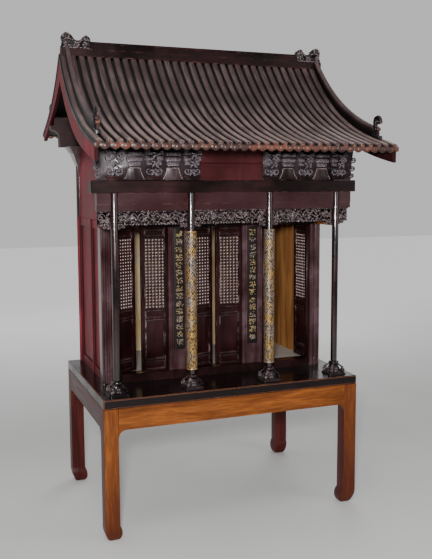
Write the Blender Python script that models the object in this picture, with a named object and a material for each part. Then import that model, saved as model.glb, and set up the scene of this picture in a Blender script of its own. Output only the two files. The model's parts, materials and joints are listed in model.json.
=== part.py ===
"""Ancestral shrine: a temple-shaped cabinet with a tiled roof, on a table stand.

Metres. X runs along the front, the front faces -Y, Z is up, and the origin is
on the ground under the middle of the roof.
"""
import math

import bmesh
import bpy
from mathutils import Matrix, Vector

# Clearances
GAP = 0.0003
OVERLAP = 0.004
DOOR_GAP = 0.0012
PIN_CLEARANCE = 0.0006
PIN_END_CLEARANCE = 0.0015
LEAF_LIFT = 0.003
LEAF_HEADROOM = 0.0015

# Stand
STAND_WIDTH = 1.10
STAND_DEPTH = 0.752
STAND_HEIGHT = 0.527
LEG_SIZE = 0.058
APRON_HEIGHT = 0.085
APRON_THICKNESS = 0.022
SPANDREL_RADIUS = 0.030
HOOF_HEIGHT = 0.060
HOOF_BULGE = 0.010
HOOF_TAPER = 0.016

# Shrine floor and case
BOARD_THICKNESS = 0.0367
BOARD_CHAMFER = 0.003
CASE_HALF_WIDTH = 0.497
CASE_FRONT_Y = -0.135
CASE_BACK_Y = 0.370
POST_WIDTH = 0.050
POST_DEPTH = 0.050
SIDE_INSET = 0.012
SIDE_THICKNESS = 0.020
BACK_THICKNESS = 0.014
SILL_HEIGHT = 0.035
FLOOR_THICKNESS = 0.024
HEAD_HEIGHT = 0.095
HEAD_DEPTH = 0.030
CEILING_THICKNESS = 0.012
SEAM_HEIGHT = 0.668
WALL_ABOVE_ARCHITRAVE = 0.150
PANEL_SINK = 0.006
PANEL_RAIL = 0.036
PANEL_STILE = 0.030
BEAD_RADIUS = 0.007
CORNER_ROUND = 0.016
CORBEL_REACH = 0.060
CORBEL_HEIGHT = 0.142

# Pilasters and inscription boards
PILASTER_X = 0.1665
PILASTER_WIDTH = 0.093
PILASTER_SINK = 0.005
INSCRIPTION_WIDTH = 0.046
INSCRIPTION_THICKNESS = 0.008
INSCRIPTION_DROP = 0.006
INSCRIPTION_LENGTH = 0.510

# Door leaves
LEAF_HEIGHT = 0.601
LEAF_THICKNESS = 0.018
LEAF_SETBACK = 0.004
LEAF_STILE = 0.0145
LEAF_RAIL = 0.009
LEAF_PANEL = 0.006
SKIRT_PANEL = 0.034
TALL_PANEL = 0.165
WAIST_PANEL = 0.030
TOP_PANEL = 0.026
LATTICE_COLUMNS = 2
LATTICE_ROWS = 5
LATTICE_BAR = 0.0055
PIN_RADIUS = 0.004
PIN_LENGTH = 0.006
PIN_SIDES = 8
ANGLE_LEFT_BAY_LEFT = 31.0
ANGLE_LEFT_BAY_RIGHT = 0.0
ANGLE_CENTRE_BAY_LEFT = 20.0
ANGLE_CENTRE_BAY_RIGHT = 0.0
ANGLE_RIGHT_BAY_LEFT = 88.0
ANGLE_RIGHT_BAY_RIGHT = 88.0

# Columns of the porch
COLUMN_Y = -0.3025
COLUMN_OUTER_X = 0.478
COLUMN_INNER_X = 0.170
COLUMN_RADIUS = 0.014
COLUMN_SIDES = 12
COLUMN_TOP = 0.784
BASE_HEIGHT = 0.056
BASE_HALF_WIDTH = 0.041
BASE_TORUS_RADIUS = 0.021
SLEEVE_THICKNESS = 0.0085
SLEEVE_FOOT = 0.076
SLEEVE_LENGTH = 0.556
SLEEVE_ARC = 210.0

# Beams and carving over the porch
ARCHITRAVE_HALF = 0.567
ARCHITRAVE_HEIGHT = 0.048
ARCHITRAVE_DEPTH = 0.044
ARCHITRAVE_OVERHANG = 0.011
TIE_HALF = 0.546
TIE_HEIGHT = 0.043
TIE_DEPTH = 0.034
TIE_SETBACK = 0.004
STRIP_HEIGHT = 0.0245
STRIP_STEP = 0.003
FRIEZE_HEIGHT = 0.056
FRIEZE_THICKNESS = 0.016
FRIEZE_BACKING = 0.006
FRIEZE_SPANDREL = 0.020
FRIEZE_SPANDREL_WIDTH = 0.042
FRIEZE_CELL = 0.040
FRIEZE_BAR = 0.010
BRACKET_SET_START = 0.135
BRACKET_BOARD = 0.016
BRACKET_BOWL = 0.028
BRACKET_ARM_HEIGHT = 0.015
BRACKET_ARM_REACH = 0.028
BRACKET_NOSE_WIDTH = 0.018
BRACKET_SPLAY = 0.020
BRACKET_ZONE_REACH = 0.084
EAVE_BEAM_REACH = 0.073
ROOF_CLEARANCE = 0.004
BELL_RELIEF = 0.004
MOULDING_RADIUS = 0.006
MOULDING_RISE = 0.062

# Roof
ROOF_HALF_WIDTH = 0.6077
ROOF_HALF_DEPTH = 0.579
RIDGE_Y = 0.089
EAVE_RISE = 0.141
ROOF_RISE = 0.391
REAR_EAVE_LIFT = 0.093
FRONT_STRAIGHT_SHARE = 0.44
REAR_STRAIGHT_SHARE = 0.61
RIBS = 33
RIB_HEIGHT = 0.013
DECK_THICKNESS = 0.013
DRIP_DEPTH = 0.015
DRIP_POINT = 0.009
LIP_DEPTH = 0.016
FRONT_STEPS = 5
REAR_STEPS = 3
STEP_CROWDING_SHARE = 0.67
GABLE_THICKNESS = 0.016
GABLE_INSET = 0.002
GABLE_EAVE_FRONT = 0.050
GABLE_EAVE_REAR = 0.030
GABLE_RIDGE = 0.096
GABLE_FRONT_END = 0.018
GABLE_REAR_END = 0.022
RIDGE_WIDTH = 0.036
RIDGE_HEIGHT = 0.041
RIDGE_CAP = 0.008
RIDGE_SADDLE = 0.010
FINIAL_LENGTH = 0.124
FINIAL_HEIGHT = 0.066
FINIAL_INSET = 0.0087
HANG_INSET = 0.0337
HANG_THICKNESS = 0.020
HANG_HEIGHT = 0.044
HANG_END_SHARE = 0.20
ORNAMENT_HEIGHT = 0.082
ORNAMENT_DEPTH = 0.046
PURLIN_DEPTH = 0.052
PURLIN_BACK_Y = 0.398
PURLIN_OVERHANG = 0.0224
PURLIN_UPPER = 0.024
PURLIN_LOWER = 0.043
PURLIN_COVE = 0.034

# Levels and lines that follow from the sizes above
BOARD_TOP = STAND_HEIGHT + BOARD_THICKNESS
SILL_TOP = BOARD_TOP + SILL_HEIGHT
LEAF_BOTTOM = SILL_TOP + LEAF_LIFT
HEAD_BOTTOM = LEAF_BOTTOM + LEAF_HEIGHT + LEAF_HEADROOM
HEAD_TOP = HEAD_BOTTOM + HEAD_HEIGHT
SEAM_Z = BOARD_TOP + SEAM_HEIGHT
ARCHITRAVE_BOTTOM = BOARD_TOP + COLUMN_TOP
ARCHITRAVE_TOP = ARCHITRAVE_BOTTOM + ARCHITRAVE_HEIGHT
ARCHITRAVE_FRONT = COLUMN_Y - ARCHITRAVE_OVERHANG
ARCHITRAVE_BACK = ARCHITRAVE_FRONT + ARCHITRAVE_DEPTH
WALL_TOP = ARCHITRAVE_TOP + WALL_ABOVE_ARCHITRAVE
EAVE_Z = ARCHITRAVE_TOP + EAVE_RISE
RIDGE_Z = EAVE_Z + ROOF_RISE
REAR_EAVE_Z = EAVE_Z + REAR_EAVE_LIFT
RIDGE_HALF = ROOF_HALF_WIDTH - FINIAL_INSET - FINIAL_LENGTH
POST_INNER_X = CASE_HALF_WIDTH - POST_WIDTH
SIDE_OUTER_X = CASE_HALF_WIDTH - SIDE_INSET
SIDE_INNER_X = SIDE_OUTER_X - SIDE_THICKNESS
DOOR_Y = CASE_FRONT_Y + LEAF_THICKNESS / 2 + LEAF_SETBACK


def remove_objects():
    """Empty the file of its objects."""
    for old in list(bpy.data.objects):
        bpy.data.objects.remove(old, do_unlink=True)


def paint(name, colour, roughness, metallic=0.0):
    """A Principled material with one colour."""
    material = bpy.data.materials.new(name)
    material.use_nodes = True
    shader = material.node_tree.nodes["Principled BSDF"]
    shader.inputs["Base Color"].default_value = (*colour, 1.0)
    shader.inputs["Roughness"].default_value = roughness
    shader.inputs["Metallic"].default_value = metallic
    material.diffuse_color = (*colour, 1.0)
    return material


def make_object(name, shape, material, smooth=False):
    """Turn a bmesh into a named object, faces out."""
    bmesh.ops.recalc_face_normals(shape, faces=shape.faces)
    mesh = bpy.data.meshes.new(name)
    shape.to_mesh(mesh)
    shape.free()
    if smooth:
        mesh.shade_smooth()
        mesh.set_sharp_from_angle(angle=math.radians(35.0))
    thing = bpy.data.objects.new(name, mesh)
    bpy.context.collection.objects.link(thing)
    mesh.materials.append(material)
    return thing


def box_shape(low, high, chamfer=0.0):
    """A box between two corners, with its edges chamfered."""
    shape = bmesh.new()
    bmesh.ops.create_cube(shape, size=1.0)
    size = Vector(high) - Vector(low)
    middle = (Vector(high) + Vector(low)) / 2
    bmesh.ops.scale(shape, vec=size, verts=shape.verts)
    bmesh.ops.translate(shape, vec=middle, verts=shape.verts)
    if chamfer > 0.0:
        bmesh.ops.bevel(shape, geom=list(shape.edges), offset=chamfer, segments=1, affect='EDGES')
    return shape


def box(name, low, high, material, chamfer=0.0):
    return make_object(name, box_shape(low, high, chamfer), material)


def spread(outline, along, start, end):
    """The two rings of an outline carried along one axis, as 3-D points."""
    place = {
        "X": lambda a, b, c: (c, a, b),
        "Y": lambda a, b, c: (a, c, b),
        "Z": lambda a, b, c: (a, b, c),
    }[along]
    return [[Vector(place(a, b, c)) for a, b in outline] for c in (start, end)]


def loft_shape(rings):
    """A closed body through rings of equally many points, with flat ends."""
    shape = bmesh.new()
    rows = [[shape.verts.new(point) for point in ring] for ring in rings]
    count = len(rows[0])
    for lower, upper in zip(rows, rows[1:]):
        for i in range(count):
            j = (i + 1) % count
            shape.faces.new((lower[i], lower[j], upper[j], upper[i]))
    shape.faces.new(rows[0])
    shape.faces.new(rows[-1])
    bmesh.ops.recalc_face_normals(shape, faces=shape.faces)
    return shape


def prism_shape(outline, along, start, end):
    return loft_shape(spread(outline, along, start, end))


def prism(name, outline, along, start, end, material):
    return make_object(name, prism_shape(outline, along, start, end), material)


def arc(cx, cy, radius, begin, end, steps):
    """Points on an arc, with angles in degrees."""
    turn = (end - begin) / steps
    angles = [math.radians(begin + turn * i) for i in range(steps + 1)]
    return [(cx + radius * math.cos(t), cy + radius * math.sin(t)) for t in angles]


def combine(shapes):
    """Several shapes that stand apart, in one bmesh."""
    whole = bmesh.new()
    for shape in shapes:
        mesh = bpy.data.meshes.new("piece")
        shape.to_mesh(mesh)
        shape.free()
        whole.from_mesh(mesh)
        bpy.data.meshes.remove(mesh)
    return whole


def carve(target, shape, operation):
    """Cut a shape from an object, or join it on, and keep the result as its mesh."""
    tool = make_object("tool", shape, target.data.materials[0])
    boolean = target.modifiers.new("carve", 'BOOLEAN')
    boolean.operation = operation
    boolean.solver = 'EXACT'
    boolean.object = tool
    graph = bpy.context.evaluated_depsgraph_get()
    result = bpy.data.meshes.new_from_object(target.evaluated_get(graph))
    target.modifiers.remove(boolean)
    old_mesh = target.data
    target.data = result
    result.name = target.name
    bpy.data.meshes.remove(old_mesh)
    bpy.data.objects.remove(tool, do_unlink=True)


def merge_flat_faces(thing, angle=0.2):
    """Join coplanar faces, so that they take few triangles."""
    shape = bmesh.new()
    shape.from_mesh(thing.data)
    bmesh.ops.dissolve_limit(
        shape,
        angle_limit=math.radians(angle),
        verts=shape.verts,
        edges=shape.edges,
        use_dissolve_boundaries=False,
    )
    shape.to_mesh(thing.data)
    shape.free()


def roof_top(y):
    """Height of the tile crests: a straight share and a cubic share of the rise."""
    if y < RIDGE_Y:
        share = (y + ROOF_HALF_DEPTH) / (RIDGE_Y + ROOF_HALF_DEPTH)
        straight = FRONT_STRAIGHT_SHARE
        eave = EAVE_Z
    else:
        share = (ROOF_HALF_DEPTH - y) / (ROOF_HALF_DEPTH - RIDGE_Y)
        straight = REAR_STRAIGHT_SHARE
        eave = REAR_EAVE_Z
    return eave + (RIDGE_Z - eave) * (straight * share + (1.0 - straight) * share**3)


def roof_under(y):
    """Height of the deck's underside."""
    return roof_top(y) - RIB_HEIGHT - DECK_THICKNESS


def slope_lines(side):
    """Y from the eave to the ridge on one slope; side is -1 in front and 1 behind.

    The lines crowd together towards the ridge, where the slope bends most.
    """
    steps = FRONT_STEPS if side < 0 else REAR_STEPS
    eave = side * ROOF_HALF_DEPTH
    top = RIDGE_Y + side * GAP / 2
    shares = [(i / steps) ** STEP_CROWDING_SHARE for i in range(steps + 1)]
    return [eave + (top - eave) * share for share in shares]


def deck_lines(side):
    """The same lines under the deck, where the first one is behind the eave's lip."""
    lines = slope_lines(side)
    return [lines[0] - side * LIP_DEPTH] + lines[1:]


def seat(begin, end, lines, height):
    """Points on a slope's straight facets between two Y values, with every fold between them."""
    low, high = sorted((begin, end))
    ordered = sorted(lines)

    def on_facet(y):
        for left, right in zip(ordered, ordered[1:]):
            if left <= y <= right:
                share = (y - left) / (right - left)
                return height(left) + share * (height(right) - height(left))
        return height(y)

    ys = [low] + [y for y in ordered if low + GAP < y < high - GAP] + [high]
    points = [(y, on_facet(y)) for y in ys]
    return points if begin < end else points[::-1]


# Stand


def leg(name, side_x, side_y, material):
    """A square leg whose hoof foot swells inwards and tapers to the ground."""
    half_x = STAND_WIDTH / 2
    half_y = STAND_DEPTH / 2
    hoof = (
        (0.00, 1.00, 0.10),
        (0.20, 0.45, 0.70),
        (0.45, 0.12, 1.00),
        (0.78, 0.00, 0.92),
        (0.92, 0.00, 0.55),
        (1.00, 0.00, 0.00),
    )
    rings = []
    for rise, taper, bulge in hoof:
        rings.append((rise * HOOF_HEIGHT, taper * HOOF_TAPER, LEG_SIZE + bulge * HOOF_BULGE))
    rings.append((STAND_HEIGHT, 0.0, LEG_SIZE))
    sections = []
    for z, outer, inner in rings:
        xs = (side_x * (half_x - outer), side_x * (half_x - inner))
        ys = (side_y * (half_y - outer), side_y * (half_y - inner))
        sections.append([Vector((xs[i], ys[j], z)) for i, j in ((0, 0), (1, 0), (1, 1), (0, 1))])
    return make_object(name, loft_shape(sections), material)


def apron_outline(half_length):
    """The apron's face: a straight board whose lower corners run down the legs."""
    bottom = STAND_HEIGHT - APRON_HEIGHT
    edge = half_length - LEG_SIZE - GAP
    inner = edge - SPANDREL_RADIUS
    left = arc(-inner, bottom - SPANDREL_RADIUS, SPANDREL_RADIUS, 180.0, 90.0, 5)
    right = arc(inner, bottom - SPANDREL_RADIUS, SPANDREL_RADIUS, 90.0, 0.0, 5)
    return left + right + [(edge, STAND_HEIGHT), (-edge, STAND_HEIGHT)]


def build_stand(wood):
    for side_x, across in ((-1, "left"), (1, "right")):
        for side_y, along in ((-1, "front"), (1, "back")):
            leg(f"stand_leg_{along}_{across}", side_x, side_y, wood)
    half_x = STAND_WIDTH / 2
    half_y = STAND_DEPTH / 2
    across = apron_outline(half_x)
    deep = apron_outline(half_y)
    prism("apron_front", across, "Y", -half_y, -half_y + APRON_THICKNESS, wood)
    prism("apron_back", across, "Y", half_y - APRON_THICKNESS, half_y, wood)
    prism("apron_left", deep, "X", -half_x, -half_x + APRON_THICKNESS, wood)
    prism("apron_right", deep, "X", half_x - APRON_THICKNESS, half_x, wood)


# Case


def build_base(lacquer, pale):
    half_x = STAND_WIDTH / 2
    half_y = STAND_DEPTH / 2
    low = (-half_x, -half_y, STAND_HEIGHT + GAP)
    box("base_board", low, (half_x, half_y, BOARD_TOP), lacquer, BOARD_CHAMFER)
    low = (-POST_INNER_X + GAP, CASE_FRONT_Y, BOARD_TOP + GAP)
    sill = box("sill", low, (POST_INNER_X - GAP, CASE_FRONT_Y + POST_DEPTH, SILL_TOP), lacquer)
    carve(sill, socket_shapes(SILL_TOP - PIN_LENGTH, SILL_TOP + 0.002), 'DIFFERENCE')
    low = (-SIDE_INNER_X + GAP, CASE_FRONT_Y + POST_DEPTH + GAP, BOARD_TOP + GAP)
    high = (SIDE_INNER_X - GAP, CASE_BACK_Y - BACK_THICKNESS - GAP, BOARD_TOP + FLOOR_THICKNESS)
    box("case_floor", low, high, pale)


def build_case(lacquer, pale):
    reach = SIDE_INNER_X - GAP
    low = (-reach, CASE_FRONT_Y, HEAD_BOTTOM)
    head = box("head_rail", low, (reach, CASE_FRONT_Y + HEAD_DEPTH, HEAD_TOP), lacquer)
    carve(head, socket_shapes(HEAD_BOTTOM - 0.002, HEAD_BOTTOM + PIN_LENGTH), 'DIFFERENCE')
    low = (-reach, CASE_BACK_Y - BACK_THICKNESS, BOARD_TOP + GAP)
    box("back_panel", low, (reach, CASE_BACK_Y, WALL_TOP), pale)
    low = (-reach, ARCHITRAVE_BACK + GAP, HEAD_TOP + GAP)
    high = (reach, CASE_BACK_Y - BACK_THICKNESS - GAP, HEAD_TOP + GAP + CEILING_THICKNESS)
    box("ceiling_board", low, high, lacquer)
    for side, word in ((-1, "left"), (1, "right")):
        corner_post(f"corner_post_{word}", side, lacquer)
        side_panel(f"side_panel_{word}", side, lacquer)
        upper_side(f"upper_side_{word}", side, lacquer)


def corner_post(name, side, material):
    """A post whose front carries two round beads."""
    inner = POST_INNER_X
    front = CASE_FRONT_Y + BEAD_RADIUS
    back = CASE_FRONT_Y + POST_DEPTH
    first = arc(inner + BEAD_RADIUS + 0.008, front, BEAD_RADIUS, 180.0, 360.0, 5)
    second = arc(CASE_HALF_WIDTH - BEAD_RADIUS, front, BEAD_RADIUS, 180.0, 360.0, 5)
    outline = [(inner, back), (inner, front)] + first + second + [(CASE_HALF_WIDTH, back)]
    outline = [(side * x, y) for x, y in outline]
    return prism(name, outline, "Z", BOARD_TOP + GAP, HEAD_BOTTOM - GAP, material)


def side_panel(name, side, material):
    """The lower side wall, with a front and a back field sunk beside an upright bead."""
    front = CASE_FRONT_Y + POST_DEPTH + GAP
    bottom = BOARD_TOP + GAP
    low = (side * SIDE_INNER_X, front, bottom)
    high = (side * SIDE_OUTER_X, CASE_BACK_Y, SEAM_Z - GAP)
    low, high = zip(*(sorted(pair) for pair in zip(low, high)))
    wall = box(name, low, high, material)
    middle = front + (CASE_BACK_Y - front) * 0.38
    fields = (
        (front + PANEL_STILE, middle - PANEL_STILE / 2),
        (middle + PANEL_STILE / 2, CASE_BACK_Y - 2 * CORNER_ROUND - PANEL_STILE / 2),
    )
    sunk = sorted((side * (SIDE_OUTER_X - PANEL_SINK), side * (SIDE_OUTER_X + PANEL_SINK)))
    cutters = []
    for begin, end in fields:
        lower = (sunk[0], begin, bottom + PANEL_RAIL)
        cutters.append(box_shape(lower, (sunk[1], end, SEAM_Z - PANEL_RAIL)))
    carve(wall, combine(cutters), 'DIFFERENCE')
    bead = arc(middle, side * SIDE_OUTER_X, BEAD_RADIUS, 0.0, 360.0, 8)[:-1]
    bead = [(x, y) for y, x in bead]
    carve(wall, prism_shape(bead, "Z", bottom, SEAM_Z - GAP), 'UNION')
    carve(wall, corner_shape(side, bottom, SEAM_Z - GAP), 'UNION')


def corner_shape(side, bottom, top):
    """The round upright on the wall's back corner."""
    x = side * (SIDE_INNER_X + CORNER_ROUND + 2 * GAP)
    y = CASE_BACK_Y - CORNER_ROUND - 2 * GAP
    return prism_shape(ring_at(x, y, CORNER_ROUND, 12), "Z", bottom, top)


def upper_side(name, side, material):
    """The upper side wall: over the porch it hangs lower, and a corbel flares at its back."""
    porch = CASE_FRONT_Y + POST_DEPTH
    outline = [
        (CASE_BACK_Y, SEAM_Z),
        (CASE_BACK_Y, WALL_TOP),
        (ARCHITRAVE_BACK + GAP, WALL_TOP),
        (ARCHITRAVE_BACK + GAP, HEAD_BOTTOM),
        (porch, HEAD_BOTTOM),
        (porch, SEAM_Z),
    ]
    inner, outer = sorted((side * SIDE_INNER_X, side * SIDE_OUTER_X))
    wall = prism(name, outline, "X", inner, outer, material)
    carve(wall, corner_shape(side, SEAM_Z, WALL_TOP), 'UNION')
    flare = ((0.0, 0.10, 0.20), (0.33, 0.22, 0.35), (0.62, 0.62, 0.70), (1.0, 1.0, 1.0))
    rings = []
    start = WALL_TOP - CORBEL_HEIGHT
    for rise, reach, spread_share in flare:
        outer_x = side * (SIDE_OUTER_X + reach * CORBEL_REACH)
        front = CASE_BACK_Y - CORNER_ROUND - spread_share * 2 * CORBEL_REACH
        z = start + rise * CORBEL_HEIGHT
        back = CASE_BACK_Y - 0.001
        inner_x = side * (SIDE_INNER_X + 0.001)
        corners = ((inner_x, front), (outer_x, front), (outer_x, back), (inner_x, back))
        rings.append([Vector((x, y, z)) for x, y in corners])
    carve(wall, loft_shape(rings), 'UNION')


# Pilasters and inscription boards


def build_pilasters(lacquer, gilt):
    bottom = SILL_TOP + GAP
    top = HEAD_BOTTOM - GAP
    half = PILASTER_WIDTH / 2
    board = INSCRIPTION_WIDTH / 2
    for side, word in ((-1, "left"), (1, "right")):
        middle = side * PILASTER_X
        low = (middle - half, CASE_FRONT_Y, bottom)
        pilaster = box(f"pilaster_{word}", low, (middle + half, CASE_FRONT_Y + POST_DEPTH, top), lacquer)
        slot = box_shape(
            (middle - board - GAP, CASE_FRONT_Y - 0.01, bottom - 0.01),
            (middle + board + GAP, CASE_FRONT_Y + PILASTER_SINK, top + 0.01),
        )
        carve(pilaster, slot, 'DIFFERENCE')
        back = CASE_FRONT_Y + PILASTER_SINK - GAP
        crown = back - INSCRIPTION_THICKNESS
        outline = [(middle - board, back), (middle + board, back)]
        outline += [(middle + board, crown + 0.003), (middle + board * 0.5, crown)]
        outline += [(middle - board * 0.5, crown), (middle - board, crown + 0.003)]
        end = top - INSCRIPTION_DROP
        prism(f"inscription_{word}", outline, "Z", end - INSCRIPTION_LENGTH, end, gilt)


# Door leaves


def doorways():
    """Left and right edge of each doorway."""
    near = PILASTER_X - PILASTER_WIDTH / 2
    far = PILASTER_X + PILASTER_WIDTH / 2
    return {"left": (-POST_INNER_X, -far), "centre": (-near, near), "right": (far, POST_INNER_X)}


def leaf_width(edges):
    """From the pivot's outer edge to the free edge."""
    return (edges[1] - edges[0] - 3 * DOOR_GAP) / 2


def pivot_places():
    """Each leaf's name, pivot X, width, side it hangs on and opening angle."""
    angles = {
        ("left", "left"): ANGLE_LEFT_BAY_LEFT,
        ("left", "right"): ANGLE_LEFT_BAY_RIGHT,
        ("centre", "left"): ANGLE_CENTRE_BAY_LEFT,
        ("centre", "right"): ANGLE_CENTRE_BAY_RIGHT,
        ("right", "left"): ANGLE_RIGHT_BAY_LEFT,
        ("right", "right"): ANGLE_RIGHT_BAY_RIGHT,
    }
    places = []
    for (bay, hand), angle in angles.items():
        edges = doorways()[bay]
        inset = DOOR_GAP + LEAF_THICKNESS / 2
        side = 1 if hand == "left" else -1
        pivot = edges[0] + inset if side > 0 else edges[1] - inset
        places.append((f"door_{bay}_bay_{hand}", pivot, leaf_width(edges), side, angle))
    return places


def ring_at(x, y, radius, sides):
    return arc(x, y, radius, 0.0, 360.0, sides)[:-1]


def socket_shapes(bottom, top):
    """Round sockets for the pivot pins of all leaves."""
    radius = PIN_RADIUS + PIN_CLEARANCE
    rings = [ring_at(place[1], DOOR_Y, radius, PIN_SIDES) for place in pivot_places()]
    return combine([prism_shape(ring, "Z", bottom, top) for ring in rings])


def leaf_fields():
    """Bottom and top of the leaf's sunk fields, counted from its foot."""
    fields = []
    z = LEAF_RAIL
    lattice = LEAF_HEIGHT - 6 * LEAF_RAIL - SKIRT_PANEL - TALL_PANEL - WAIST_PANEL - TOP_PANEL
    for height in (SKIRT_PANEL, TALL_PANEL, WAIST_PANEL, lattice, TOP_PANEL):
        fields.append((z, z + height))
        z += height + LEAF_RAIL
    return fields


def lattice_holes(low_x, high_x, low_z, high_z):
    """Diamond openings in staggered rows."""
    step_x = (high_x - low_x) / LATTICE_COLUMNS
    step_z = (high_z - low_z) / LATTICE_ROWS
    half_x = (step_x - LATTICE_BAR) / 2
    half_z = (step_z - LATTICE_BAR) / 2
    middles = []
    for row in range(LATTICE_ROWS):
        for column in range(LATTICE_COLUMNS):
            middles.append((low_x + (column + 0.5) * step_x, low_z + (row + 0.5) * step_z))
    for row in range(1, LATTICE_ROWS):
        for column in range(1, LATTICE_COLUMNS):
            middles.append((low_x + column * step_x, low_z + row * step_z))
    shapes = []
    for x, z in middles:
        diamond = [(x + half_x, z), (x, z + half_z), (x - half_x, z), (x, z - half_z)]
        shapes.append(prism_shape(diamond, "Y", -LEAF_THICKNESS, LEAF_THICKNESS))
    return combine(shapes)


def leaf_mesh(name, width, material):
    """A leaf round its pivot at the origin, running to +X, with its foot at Z 0."""
    half = LEAF_THICKNESS / 2
    outline = arc(0.0, 0.0, half, 90.0, 270.0, 6)
    outline += [(width - half, -half), (width - half, half)]
    leaf = prism(name, outline, "Z", 0.0, LEAF_HEIGHT, material)
    low_x = LEAF_STILE - half
    high_x = width - half - LEAF_STILE
    cutters = []
    for low_z, high_z in leaf_fields():
        for face in (-1, 1):
            ys = sorted((face * LEAF_PANEL / 2, face * LEAF_THICKNESS))
            cutters.append(box_shape((low_x, ys[0], low_z), (high_x, ys[1], high_z)))
    carve(leaf, combine(cutters), 'DIFFERENCE')
    low_z, high_z = leaf_fields()[3]
    carve(leaf, lattice_holes(low_x, high_x, low_z, high_z), 'DIFFERENCE')
    length = PIN_LENGTH - PIN_END_CLEARANCE
    ring = ring_at(0.0, 0.0, PIN_RADIUS, PIN_SIDES)
    carve(leaf, prism_shape(ring, "Z", -length, LEAF_HEIGHT + length), 'UNION')
    merge_flat_faces(leaf)
    return leaf


def build_doors(lacquer):
    for name, pivot, width, side, angle in pivot_places():
        leaf = leaf_mesh(name, width, lacquer)
        if side < 0:
            leaf.data.transform(Matrix.Scale(-1.0, 4, Vector((1.0, 0.0, 0.0))))
            leaf.data.flip_normals()
        leaf.location = (pivot, DOOR_Y, LEAF_BOTTOM)
        leaf.rotation_euler = (0.0, 0.0, math.radians(side * angle))


# Columns


def column_places():
    return (
        ("1", -COLUMN_OUTER_X),
        ("2", -COLUMN_INNER_X),
        ("3", COLUMN_INNER_X),
        ("4", COLUMN_OUTER_X),
    )


def base_ring(x, z, size, squareness, ripple):
    """A ring between a circle and a square, with a scroll at each corner."""
    points = []
    steps = 16
    for i in range(steps):
        t = 2 * math.pi * i / steps
        c = math.cos(t)
        s = math.sin(t)
        square = 1.0 / max(abs(c), abs(s))
        radius = size * (1.0 + squareness * (square - 1.0))
        radius *= 1.0 - ripple * math.cos(4 * t)
        points.append(Vector((x + radius * c, COLUMN_Y + radius * s, z)))
    return points


def column_base(name, x, material):
    """A square flared foot with corner scrolls under a round torus."""
    profile = (
        (0.00, 1.00, 1.00, 0.00),
        (0.12, 1.00, 1.00, 0.00),
        (0.24, 0.86, 0.75, 0.07),
        (0.50, 0.70, 0.60, 0.10),
        (0.74, 0.56, 0.25, 0.05),
        (0.80, BASE_TORUS_RADIUS / BASE_HALF_WIDTH, 0.0, 0.0),
        (0.94, BASE_TORUS_RADIUS / BASE_HALF_WIDTH, 0.0, 0.0),
        (1.00, 0.9 * BASE_TORUS_RADIUS / BASE_HALF_WIDTH, 0.0, 0.0),
    )
    bottom = BOARD_TOP + GAP
    rings = []
    for rise, size, squareness, ripple in profile:
        z = bottom + rise * BASE_HEIGHT
        rings.append(base_ring(x, z, size * BASE_HALF_WIDTH, squareness, ripple))
    return make_object(name, loft_shape(rings), material)


def sleeve_outline(x):
    """A thick arc round the column's front, open at the back."""
    inner = COLUMN_RADIUS + 2 * GAP
    outer = inner + SLEEVE_THICKNESS
    begin = 270.0 - SLEEVE_ARC / 2
    end = 270.0 + SLEEVE_ARC / 2
    return arc(x, COLUMN_Y, outer, begin, end, 10) + arc(x, COLUMN_Y, inner, end, begin, 10)


def build_columns(lacquer, carved, gilt):
    foot = BOARD_TOP + GAP + BASE_HEIGHT + GAP
    for number, x in column_places():
        column_base(f"column_base_{number}", x, carved)
        ring = ring_at(x, COLUMN_Y, COLUMN_RADIUS, COLUMN_SIDES)
        shape = prism_shape(ring, "Z", foot, ARCHITRAVE_BOTTOM - GAP)
        make_object(f"column_{number}", shape, lacquer, smooth=True)
    bottom = BOARD_TOP + SLEEVE_FOOT
    for word, x in (("left", -COLUMN_INNER_X), ("right", COLUMN_INNER_X)):
        outline = sleeve_outline(x)
        shape = prism_shape(outline, "Z", bottom, bottom + SLEEVE_LENGTH)
        make_object(f"gilt_sleeve_{word}", shape, gilt, smooth=True)


# Beams, friezes and brackets


def column_notches(bottom, top, front):
    """Round notches that take the columns, open to the front."""
    shapes = []
    for _, x in column_places():
        radius = COLUMN_RADIUS + GAP
        outline = arc(x, COLUMN_Y, radius, 0.0, 180.0, COLUMN_SIDES // 2)
        outline += [(x - radius, front - 0.02), (x + radius, front - 0.02)]
        shapes.append(prism_shape(outline, "Z", bottom, top))
    return combine(shapes)


def build_beams(lacquer):
    low = (-ARCHITRAVE_HALF, ARCHITRAVE_FRONT, ARCHITRAVE_BOTTOM)
    box("architrave", low, (ARCHITRAVE_HALF, ARCHITRAVE_BACK, ARCHITRAVE_TOP), lacquer, 0.002)
    top = ARCHITRAVE_BOTTOM - GAP
    middle = top - TIE_HEIGHT
    bottom = middle - STRIP_HEIGHT
    front = ARCHITRAVE_FRONT + TIE_SETBACK
    back = front + TIE_DEPTH
    outline = [
        (front, top),
        (front, middle),
        (front + STRIP_STEP, middle),
        (front + STRIP_STEP, bottom),
        (back, bottom),
        (back, top),
    ]
    tie = prism("tie_beam", outline, "X", -TIE_HALF, TIE_HALF, lacquer)
    carve(tie, column_notches(bottom - 0.01, top + 0.01, front), 'DIFFERENCE')


def frieze_bounds():
    """Ends of the three carved friezes; the outer ones pass behind the end columns."""
    end = TIE_HALF - TIE_SETBACK
    return {
        "left": (-end, -COLUMN_INNER_X - GAP / 2),
        "centre": (-COLUMN_INNER_X + GAP / 2, COLUMN_INNER_X - GAP / 2),
        "right": (COLUMN_INNER_X + GAP / 2, end),
    }


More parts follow.
